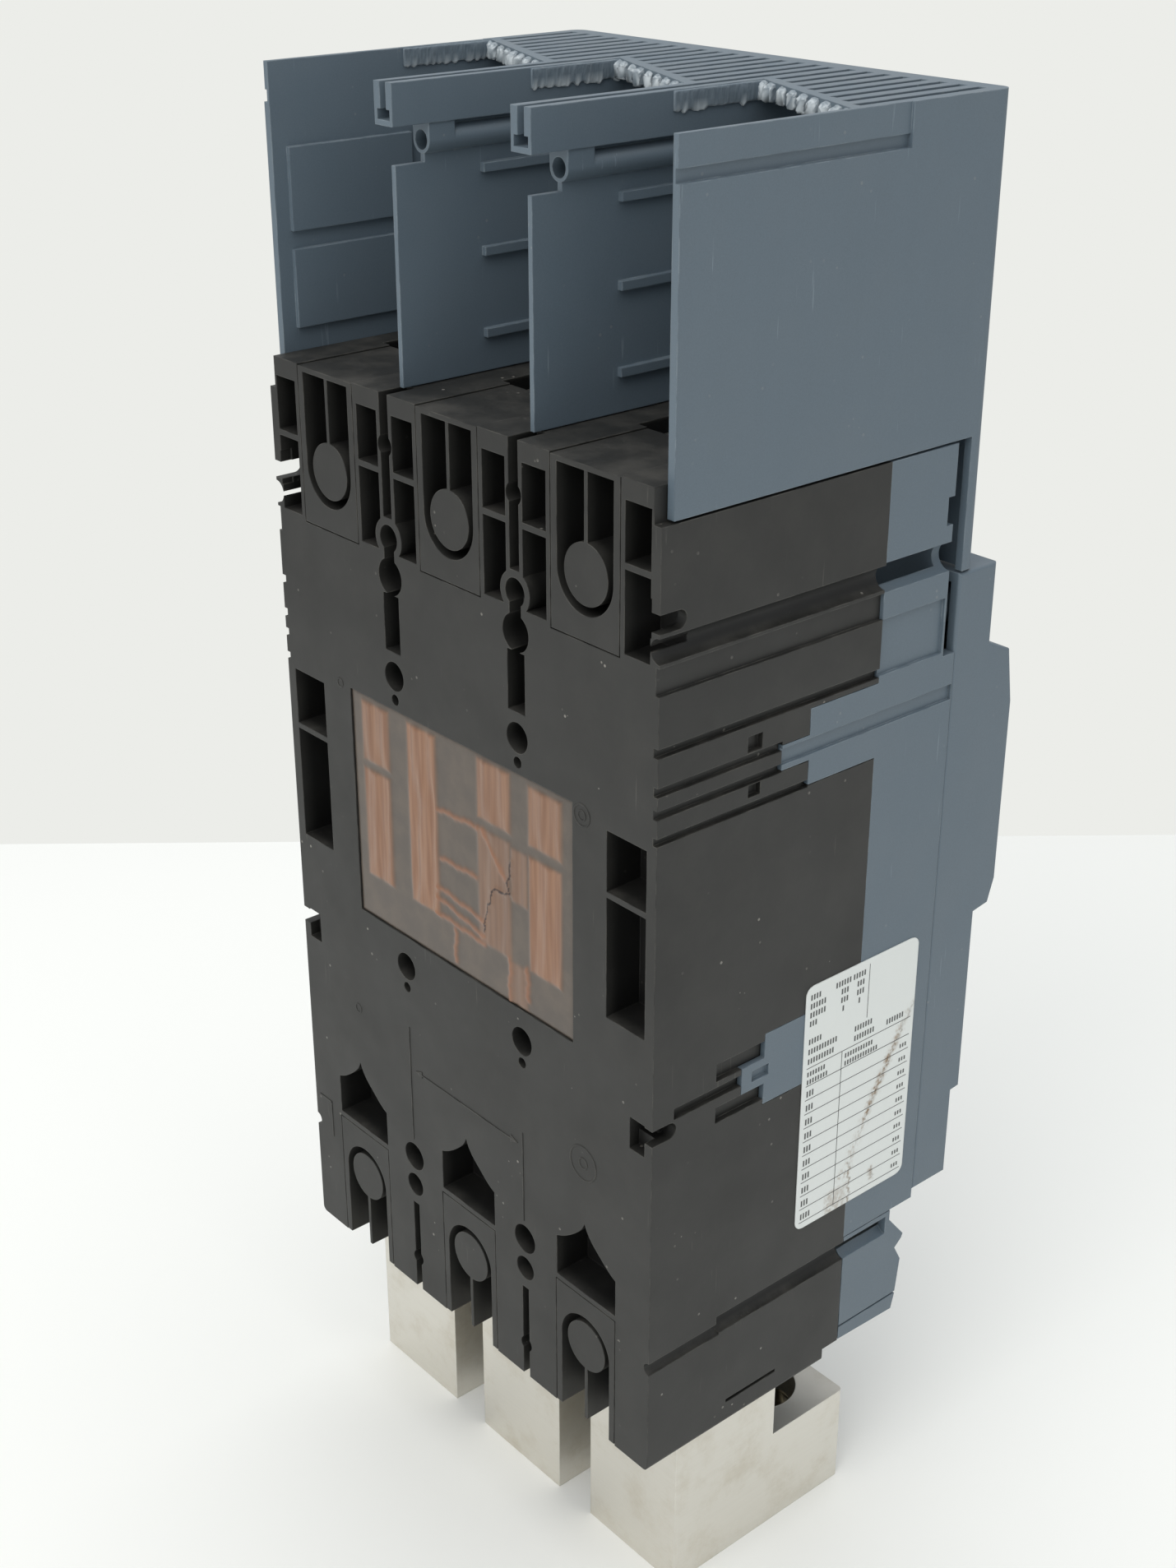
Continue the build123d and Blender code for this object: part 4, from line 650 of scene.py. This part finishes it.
film_attributes = {"lift": np.clip(lift, 0, 1), "fold": fold, "tear": (to_tear < 0.22).astype(float)}
film_attributes = {label: values[:, ::-1] for label, values in film_attributes.items()}
film_sheet = sheet("insulating_film_sheet", film_grid, back_of_film, film_attributes, film_finish,
                   "rear_insulating_film")
print("film quads:", len(film_sheet.data.polygons))

# %% [markdown]
# ## The label on the side
#
# The label is glossy white paper with a table: a heading block, a divider and ten ruled rows.
# It carries no words here, only rows of small grey blocks where entries would be. The print
# stands 0.02 mm proud. The paper is a sheet of points with two attributes, a brown stain and
# a crease: both follow wandering lines where the cover below has cracked and leaked dirt.

# %% Label paper: where it is creased and stained
label_low, label_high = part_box("rating_label")
label_corner = 2.5 * MM
label_rows, label_columns = 260, 150
row_z = np.linspace(label_low.z, label_high.z, label_rows)[:, None]
end_gap = np.minimum(row_z - label_low.z, label_high.z - row_z)
inset = label_corner - np.sqrt(label_corner**2 - np.maximum(label_corner - end_gap, 0) ** 2)
share = np.linspace(1, 0, label_columns)[None]
label_y = label_low.y + inset + share * (label_high.y - label_low.y - 2 * inset)
label_z = np.broadcast_to(row_z, label_y.shape)
label_wander_y = 0.35 * np.sin(label_z / MM * 1.7) + 0.25 * np.sin(label_z / MM * 4.1 + 1.0)
label_wander_z = 0.3 * np.sin(label_y / MM * 2.2)
label_random = np.random.default_rng(11)
label_noise = label_random.uniform(0, 1, label_y.shape)
label_noise = (label_noise + np.roll(label_noise, 1, 0) + np.roll(label_noise, 2, 0)
               + np.roll(label_noise, 1, 1) + np.roll(label_noise, (1, 1), (0, 1))) / 5


def near_line(points, width):
    """1 on a wandering line through the points (y, z in millimetres), falling to 0 beside it."""
    nearest = np.full(label_y.shape, 1e3)
    here = np.stack((label_y / MM + label_wander_y, label_z / MM + label_wander_z), axis=-1)
    for start, end in zip(points[:-1], points[1:]):
        a, b = np.array(start), np.array(end)
        t = np.clip(((here - a) @ (b - a)) / ((b - a) @ (b - a)), 0, 1)
        nearest = np.minimum(nearest, np.linalg.norm(here - a - t[..., None] * (b - a), axis=-1))
    return np.exp(-((nearest / width) ** 2))


main_crease = [(-86.2, -25.8), (-83.4, -29.6), (-79.4, -36.6), (-77.2, -41.0), (-73.6, -47.6), (-71.3, -52.6)]
faint_crease = [(-71.3, -52.6), (-69.6, -56.4), (-67.4, -60.6), (-66.4, -64.0)]
seam_crease = [(-66.3, -63.6), (-66.9, -76.2)]
small_mark = [(-74.2, -69.4), (-75.4, -71.6), (-74.9, -72.6)]
crease = np.maximum.reduce([near_line(main_crease, 0.45), 0.3 * near_line(faint_crease, 0.4),
                            0.8 * near_line(seam_crease, 0.25), near_line(small_mark, 0.35)])
fade_in = np.clip((-24.0 - label_z / MM) / 12, 0.35, 1)
patch_inside = np.minimum(np.minimum(label_y / MM + 66.6, -57.6 - label_y / MM), -68.8 - label_z / MM)
patch = np.clip(patch_inside / 1.6 + 0.8 * (label_noise - 0.5), 0, 1) * np.clip(0.3 + 1.1 * label_noise, 0, 1)
stain = np.maximum.reduce([
    near_line(main_crease, 1.15) * fade_in * np.clip(3.2 * label_noise - 0.75, 0, 1),
    0.5 * near_line(faint_crease, 1.5) * np.clip(3.2 * label_noise - 1.1, 0, 1),
    0.85 * near_line(seam_crease, 0.3), 0.45 * patch,
    0.7 * near_line([(-63.5, -66.6), (-65.9, -65.6)], 1.4) * np.clip(3.0 * label_noise - 1.1, 0, 1),
    0.9 * near_line(small_mark, 0.6) * np.clip(3.2 * label_noise - 0.6, 0, 1),
])
print("label grid", label_y.shape, "stained share", round(float((stain > 0.3).mean()), 3))

# %% Label paper: finish and sheet
label_finish, tree, shader = new_finish("label paper")
where = object_space(tree)
stained = add(tree, "ShaderNodeAttribute", attribute_name="stain").outputs["Fac"]
creased = add(tree, "ShaderNodeAttribute", attribute_name="crease").outputs["Fac"]
ripple = noise(tree, where, 55.0, 3.0)
dirt = noise(tree, where, 900.0, 4.0)
stained = maths(tree, "MULTIPLY", stained, fade(tree, dirt, 0.25, 0.6))
paper = blend_colours(tree, stained, paint(226, 230, 228), paint(140, 112, 80))
relief = maths(tree, "ADD", ripple, maths(tree, "MULTIPLY", creased, 0.45))
bumped = add(tree, "ShaderNodeBump", {"Height": relief, "Strength": 0.6, "Distance": 1.2 * MM})
tree.links.new(paper, shader.inputs["Base Color"])
tree.links.new(maths(tree, "ADD", maths(tree, "MULTIPLY", stained, 0.4), 0.36), shader.inputs["Roughness"])
tree.links.new(bumped.outputs[0], shader.inputs["Normal"])
paper_front = np.stack((np.full_like(label_y, label_low.x), label_y, label_z), axis=-1)
paper_back = paper_front + np.array((label_high.x - label_low.x, 0.0, 0.0))
sheet("label_sheet", paper_front, paper_back, {"stain": stain, "crease": crease}, label_finish,
      "rating_label")

# %% Label print
ink = moulded("label ink", paint(84, 86, 86), paint(150, 150, 148), 0.5, cloud=0.3, wear_amount=0.0)
label_face = label_low.x
front_y, rear_y = label_low.y, label_high.y
row_pitch = 4.0 * MM
header_z = label_high.z - 22.7 * MM
row_rules = [label_low.z + 1.8 * MM + row_pitch * row for row in range(11)]
low, high = [], []


def mark(y0, y1, z0, z1):
    """One printed bar between two y values and two heights, 0.02 mm proud."""
    low.append((label_face - 0.02 * MM, min(y0, y1), min(z0, z1)))
    high.append((label_face + 0.005 * MM, max(y0, y1), max(z0, z1)))


def word(start, baseline, blocks, tall=1.5):
    """Small upright blocks in place of lettering: start from the rear edge, in millimetres."""
    for block in range(blocks):
        y = rear_y - (start + 0.92 * block) * MM
        mark(y, y - 0.5 * MM, baseline, baseline + tall * MM)


for z in [header_z] + row_rules:
    mark(rear_y - 1.2 * MM, front_y + 1.2 * MM, z, z + 0.2 * MM)
mark(rear_y - 13.3 * MM, rear_y - 13.5 * MM, row_rules[0], header_z)
mark(rear_y - 21.5 * MM, rear_y - 21.7 * MM, label_high.z - 16.4 * MM, label_high.z - 1.4 * MM)
heading = [(3.8, ((1.5, 4), (10.0, 6), (16.0, 5))), (6.2, ((1.5, 6), (12.0, 3), (17.5, 3))),
           (8.6, ((1.5, 6), (12.0, 3), (17.5, 3))), (11.0, ((1.5, 3), (12.6, 1), (18.2, 1))),
           (16.0, ((1.5, 5),)), (18.8, ((1.5, 11), (17.5, 7))), (21.5, ((1.5, 10), (17.5, 8), (29.0, 7)))]
for drop, groups in heading:
    for start, blocks in groups:
        word(start, label_high.z - drop * MM, blocks)
for drop, blocks_left, blocks_right in ((25.0, 7, 11), (27.2, 8, 13)):
    word(1.5, label_high.z - drop * MM, blocks_left, 1.3)
    word(14.5, label_high.z - drop * MM, blocks_right, 1.3)
for row in range(10):
    word(1.6, row_rules[row] + 0.9 * MM, 4 if row == 0 else 3, 1.7)
    word(34.6, row_rules[row] + 1.1 * MM, 3, 1.1)
label_print = bars("label_print", low, high, ink, "housing")
print("printed bars:", len(low))

# %% [markdown]
# ## Torn plastic on the terminal cover
#
# The rear part of the louvred top was broken out by hand. What is left is a ragged stub at
# the end of each bar and a broken flange along the walls. A stub is a rounded box carried
# along its length, with its outline disturbed by seeded noise that grows towards the torn end.

# %% Torn stubs at the ends of the louvre bars
top_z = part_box("terminal_cover")[1].z
cover_wall, beam_half, bar_pitch = 2 * MM, 3.15 * MM, 5.2 * MM
bay_edges = [(-half_width + cover_wall, webs[0] - beam_half), (webs[0] + beam_half, webs[1] - beam_half),
             (webs[1] + beam_half, half_width - cover_wall)]
near_break, far_break, lip_start = 50 * MM, 67 * MM, 41 * MM
bar_half, plate_half = 1.5 * MM, 2.0 * MM
ring = np.linspace(0, 2 * pi, 24, endpoint=False)
round_x = np.sign(np.cos(ring)) * np.abs(np.cos(ring)) ** 0.45
round_z = np.sign(np.sin(ring)) * np.abs(np.sin(ring)) ** 0.45


def torn_stub(name, x, depth, length, half_x):
    """Rounded bar along +Y from a depth, its outline more disturbed towards the torn end."""
    steps = 9
    t = np.linspace(0, 1, steps)[:, None]
    rough = 1 + t * random.uniform(-0.2, 0.14, (steps, len(ring)))
    shrink = 1 - 0.22 * t**4
    droop = 0.5 * MM * t**2
    px = x + half_x * round_x * rough * shrink
    pz = top_z - plate_half - droop + 0.97 * plate_half * round_z * np.minimum(rough, 1.0) * shrink
    py = -depth - 1.2 * MM + t * (length + 1.2 * MM) + t * random.uniform(-0.3, 0.3, (steps, len(ring))) * MM
    frayed = np.clip(t**2 * random.uniform(0.1, 0.9, (steps, len(ring))), 0, 1)
    return skin_over(name, np.stack((px, py, pz), axis=-1), torn_plastic, "housing", wrap=True, caps=True,
                     frayed=frayed)


for bay, (x_low, x_high) in enumerate(bay_edges):
    middle = (x_low + x_high) / 2
    for bar in range(9):
        x = middle + (bar - 4) * bar_pitch
        x = min(max(x, x_low + 0.8 * MM), x_high - 0.8 * MM)
        share = (x - x_low) / (x_high - x_low)
        depth = near_break + (far_break - near_break) * share
        torn_stub(f"torn_stub_{bay}_{bar}", x, depth, random.uniform(1.0, 2.2) * MM, bar_half)


# %% Broken flanges along the walls and beams
def torn_lip(name, x, out, start, end):
    """Broken flange along Y on a wall face: a flat rough band whose lower edge hangs in teeth."""
    steps = int((end - start) / (0.3 * MM))
    y = -np.linspace(start, end, steps)[:, None]
    section = np.linspace(0, 2 * pi, 20, endpoint=False)[None]
    flat_x = np.sign(np.cos(section)) * np.abs(np.cos(section)) ** 0.35
    flat_z = np.sign(np.sin(section)) * np.abs(np.sin(section)) ** 0.35
    knots = steps // 3
    spread = np.linspace(0, steps, knots)
    swell = np.interp(np.arange(steps), spread[::4], random.uniform(0.3, 1.0, len(spread[::4])))[:, None]
    teeth = np.interp(np.arange(steps), spread, np.maximum(0, random.uniform(-0.9, 0.9, knots)))[:, None]
    jag = random.uniform(0.85, 1.15, (steps, 20))
    px = x + out * flat_x * (0.35 + 0.35 * swell) * MM * jag
    hanging = teeth * np.clip(-flat_z, 0, 1)
    pz = top_z - 2.15 * MM + (2.0 * flat_z - hanging) * MM
    frayed = np.clip(0.9 * hanging + 0.35 * np.clip(-flat_z - 0.6, 0, 1) + 0.25 * (jag - 0.9), 0, 1)
    grid = np.stack((px, np.broadcast_to(y, px.shape), pz), axis=-1)
    if out > 0:
        grid, frayed = grid[:, ::-1], frayed[:, ::-1]
    return skin_over(name, grid, torn_plastic, "housing", wrap=True, caps=True, frayed=frayed)


lips = []
for bay, (x_low, x_high) in enumerate(bay_edges):
    lips.append(torn_lip(f"torn_lip_high_{bay}", x_high, -1, lip_start, far_break + 1 * MM))
    lips.append(torn_lip(f"torn_lip_low_{bay}", x_low, 1, lip_start, near_break + 1 * MM))
print("torn lips:", len(lips))

# %% [markdown]
# ## Marks of the mould on the back
#
# The mould leaves ejector rings, fine dimension lines with arrowheads between the screw
# holes, and a step line near one corner. They stand about 0.15 mm proud, with no figures.

# %% Ejector rings and dimension lines
def ring_mark(name, x, z, radius, thick=0.25 * MM, rise=0.15 * MM):
    """A low round bead: a half circle carried round a larger circle on the back face."""
    big = np.linspace(0, 2 * pi, 48)[:, None]
    small = np.linspace(0, 2 * pi, 8, endpoint=False)[None]
    reach = radius + thick * np.cos(small)
    lifted = rise * np.sin(small) + 0 * big
    grid = np.stack((x + reach * np.cos(big), lifted, z + reach * np.sin(big)), axis=-1)
    return skin_over(name, grid, black_thermoset, "housing", wrap=True)


ejectors = [(45.6, -45.9, 1.2), (-45.3, -46.1, 1.4), (-45.3, -46.1, 4.6), (46.0, 47.0, 1.1),
            (-45.0, 45.0, 1.2), (-45.0, 45.0, 2.6)]
for number, (x, z, radius) in enumerate(ejectors):
    ring_mark(f"ejector_ring_{number}", x * MM, z * MM, radius * MM)
line_low, line_high = [], []
rooted = -0.05 * MM
arrow_tip, arrow_z = 20.5, -53.35
ruled_lines = [(22.85, 23.15, -75.5, -41.2), (-22.85, -22.55, -75.5, -49.5), (-20.5, 20.5, -53.5, -53.2),
               (61.3, 61.7, -95.0, -83.5), (61.3, 67.0, -83.8, -83.4)]
for x0, x1, z0, z1 in ruled_lines:
    line_low.append((x0 * MM, rooted, z0 * MM))
    line_high.append((x1 * MM, 0.14 * MM, z1 * MM))
for tip, way in ((arrow_tip, -1), (-arrow_tip, 1)):
    for step in range(5):
        x = tip + way * 0.55 * step
        line_low.append(((x - 0.28) * MM, rooted, (arrow_z - 0.22 * step) * MM))
        line_high.append(((x + 0.28) * MM, 0.13 * MM, (arrow_z + 0.22 * step + 0.1) * MM))
dimension_lines = bars("dimension_lines", line_low, line_high, black_thermoset, "housing")
print("mould marks:", len(ejectors) + len(line_low))

# %% [markdown]
# ## Threads and springs
#
# A machine thread is a screw surface: the radius falls and rises as a triangle wave of the
# distance along the axis, shifted by the turn angle. The hexagon socket is the same grid
# carried inwards, where the radius follows a hexagon instead of a circle.

# %% Lug clamp screws with real threads
turn = np.linspace(0, 2 * pi, 72, endpoint=False)[None]
screw_low, screw_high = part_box("lug_screw_left")
screw_radius = (screw_high.x - screw_low.x) / 2
pitch, thread_depth, end_chamfer = 1.5 * MM, 0.9 * MM, 0.7 * MM
socket_depth, socket_half, socket_rim = 6 * MM, 3.0 * MM, 4.4 * MM
length = screw_high.y - screw_low.y
along = np.linspace(0, length, 110)[:, None]
cycle = np.mod(along / pitch - turn / (2 * pi), 1)
thread = screw_radius - thread_depth * np.abs(2 * cycle - 1)
ends = np.minimum(np.minimum(along, length - along) / thread_depth, 1)
thread = thread - (1 - ends) * end_chamfer
hexagon = socket_half / np.cos(np.mod(turn, pi / 3) - pi / 6)
inner = np.array([[length], [length], [length - socket_depth], [length - socket_depth]])
socket_radius = np.concatenate((np.full_like(turn, socket_rim), hexagon, hexagon, hexagon * 0.2))
screw_along = np.concatenate((np.broadcast_to(along, thread.shape), np.broadcast_to(inner, (4, turn.size))))
screw_reach = np.concatenate((thread, socket_radius))
for side_name, x in poles.items():
    node = f"lug_screw_{side_name}"
    low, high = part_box(node)
    centre_z = (low.z + high.z) / 2
    screw_x, screw_z = x + screw_reach * np.cos(turn), centre_z + screw_reach * np.sin(turn)
    grid = np.stack((screw_x, high.y - screw_along, screw_z), axis=-1)
    clamp_screw = skin_over(f"clamp_screw_{side_name}", grid, screw_steel, node, wrap=True, caps=True)
    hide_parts(node)
print("clamp screws:", len(poles), "thread pitch", pitch / MM, "mm")

# %% Main springs and button spring
tilt = radians(13.0)
handle_z, pivot_depth, spring_foot = 24 * MM, 64 * MM, 60 * MM
spring_axis = np.array((0.0, -cos(tilt), -sin(tilt)))
for number, x in enumerate((-7 * MM, 7 * MM)):
    from_pivot = pivot_depth - spring_foot
    start = (x, from_pivot * cos(tilt) - pivot_depth, from_pivot * sin(tilt) + handle_z)
    grid = coil(start, spring_axis, (1.0, 0.0, 0.0), 2.55 * MM, 0.6 * MM, 11, 28.4 * MM)
    main_spring = skin_over(f"main_spring_{number}", grid, spring_steel, "toggle", wrap=True, caps=True)
    if number == 0:
        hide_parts("main_springs")
button_low, button_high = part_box("trip_button_spring")
spring_x, spring_z = (button_low.x + button_high.x) / 2, (button_low.z + button_high.z) / 2
grid = coil((spring_x, button_high.y, spring_z), (0, -1, 0), (1, 0, 0), 3.5 * MM, 0.45 * MM, 6,
            button_high.y - button_low.y)
button_spring = skin_over("button_return_spring", grid, spring_steel, "housing", wrap=True, caps=True)
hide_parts("trip_button_spring")
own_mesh(button_spring)
print("springs: 2 main, 1 button")

# %% [markdown]
# ## Front details
#
# The front gets what any breaker of the kind has: a bar and a ring beside the handle for on
# and off, and a scale of ticks round each dial.

# %% Front details
white_print = moulded("white print", paint(226, 226, 222), paint(240, 240, 236), 0.5, wear_amount=0.0)
nose_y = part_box("front_lid")[0].y
ink_rise, bar_z, ring_z = 0.06 * MM, 45 * MM, 2.8 * MM
bar_mark = bars("on_bar", [(-0.6 * MM, nose_y - ink_rise, bar_z - 1.5 * MM)],
                [(0.6 * MM, nose_y + 0.05 * MM, bar_z + 1.5 * MM)], white_print, "housing")
big = np.linspace(0, 2 * pi, 40)[:, None]
small = np.linspace(0, 2 * pi, 6, endpoint=False)[None]
reach = 1.5 * MM + 0.35 * MM * np.cos(small)
ring_y = nose_y + ink_rise * np.sin(small) + 0 * big
grid = np.stack((reach * np.cos(big), ring_y, ring_z + reach * np.sin(big)), axis=-1)
off_ring = skin_over("off_ring", grid, white_print, "housing", wrap=True)
scale_radius, tick_half = 6.2 * MM, 0.3 * MM
for dial in ("overload_dial", "short_circuit_dial"):
    low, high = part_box(dial)
    cx, cz = (low.x + high.x) / 2, (low.z + high.z) / 2
    tick_low, tick_high = [], []
    for tick in range(9):
        angle = radians(-135 + tick * 33.75)
        tx, tz = cx + scale_radius * sin(angle), cz + scale_radius * cos(angle)
        tick_low.append((tx - tick_half, low.y + 0.85 * MM, tz - tick_half))
        tick_high.append((tx + tick_half, low.y + 0.98 * MM, tz + tick_half))
    ticks = bars(f"{dial}_scale", tick_low, tick_high, white_print, "housing")
print("front details ready")

# %% [markdown]
# ## Floor, background and light
#
# The table ends in a straight edge behind the breaker; beyond it is a pale wall, which is
# the world's colour for the camera. Two large soft lamps light the breaker, one above the
# back of it and one high over its front, and an even world light fills the shadows.

# %% Table
foot_z = cad_box[0].z
edge_left, edge_right = Vector((0.4378, -0.0781)), Vector((0.1083, -0.4754))
edge_way = (edge_left - edge_right).normalized()
edge_middle = (edge_left + edge_right) / 2
towards_camera = Vector((-edge_way.y, edge_way.x))
if towards_camera.dot(Vector((eye.x, eye.y)) - edge_middle) < 0:
    towards_camera = -towards_camera
corners = [edge_middle + edge_way * 3, edge_middle - edge_way * 3,
           edge_middle - edge_way * 3 + towards_camera * 4, edge_middle + edge_way * 3 + towards_camera * 4]
table_mesh = bpy.data.meshes.new("table")
table_mesh.from_pydata([(c.x, c.y, foot_z - 0.02 * MM) for c in corners], [], [(0, 1, 2, 3)])
table = bpy.data.objects.new("table", table_mesh)
bpy.context.scene.collection.objects.link(table)
table_finish, tree, shader = new_finish("table top")
shader.inputs["Base Color"].default_value = paint(246, 247, 244)
shader.inputs["Roughness"].default_value = 0.55
table_mesh.materials.append(table_finish)

# %% World and lamps
world = bpy.data.worlds.new("room")
bpy.context.scene.world = world
world.use_nodes = True
tree = world.node_tree
tree.nodes.clear()
rays = add(tree, "ShaderNodeLightPath")
seen = maths(tree, "MAXIMUM", rays.outputs["Is Camera Ray"], rays.outputs["Is Transmission Ray"])
wall = add(tree, "ShaderNodeBackground", {"Color": paint(236, 237, 233), "Strength": 1.0})
room_light = add(tree, "ShaderNodeBackground", {"Color": (0.97, 0.99, 1.0, 1.0), "Strength": 0.55})
chosen = add(tree, "ShaderNodeMixShader", {0: seen, 1: room_light.outputs[0], 2: wall.outputs[0]})
add(tree, "ShaderNodeOutputWorld", {"Surface": chosen.outputs[0]})


def soft_lamp(name, spot, target, size, power, colour):
    """Large square lamp aimed at a point."""
    data = bpy.data.lights.new(name, "AREA")
    data.size = size
    data.energy = power
    data.color = colour
    lamp = bpy.data.objects.new(name, data)
    lamp.location = spot
    lamp.rotation_mode = "QUATERNION"
    lamp.rotation_quaternion = (Vector(target) - Vector(spot)).to_track_quat("-Z", "Y")
    bpy.context.scene.collection.objects.link(lamp)
    return lamp


soft_lamp("window", (-0.4, 1.2, 1.2), (0, -0.05, 0.0), 1.2, 13.5, (1.0, 0.985, 0.96))
soft_lamp("ceiling", (0.1, -0.2, 1.6), (0, -0.05, 0.0), 1.8, 15.5, (1.0, 1.0, 1.0))
bpy.context.scene.view_settings.view_transform = "Standard"
print("table edge", tuple(round(v, 3) for v in edge_middle))

# %% Sizes and finish
print("CAD box", [tuple(round(x, 4) for x in v) for v in cad_box])
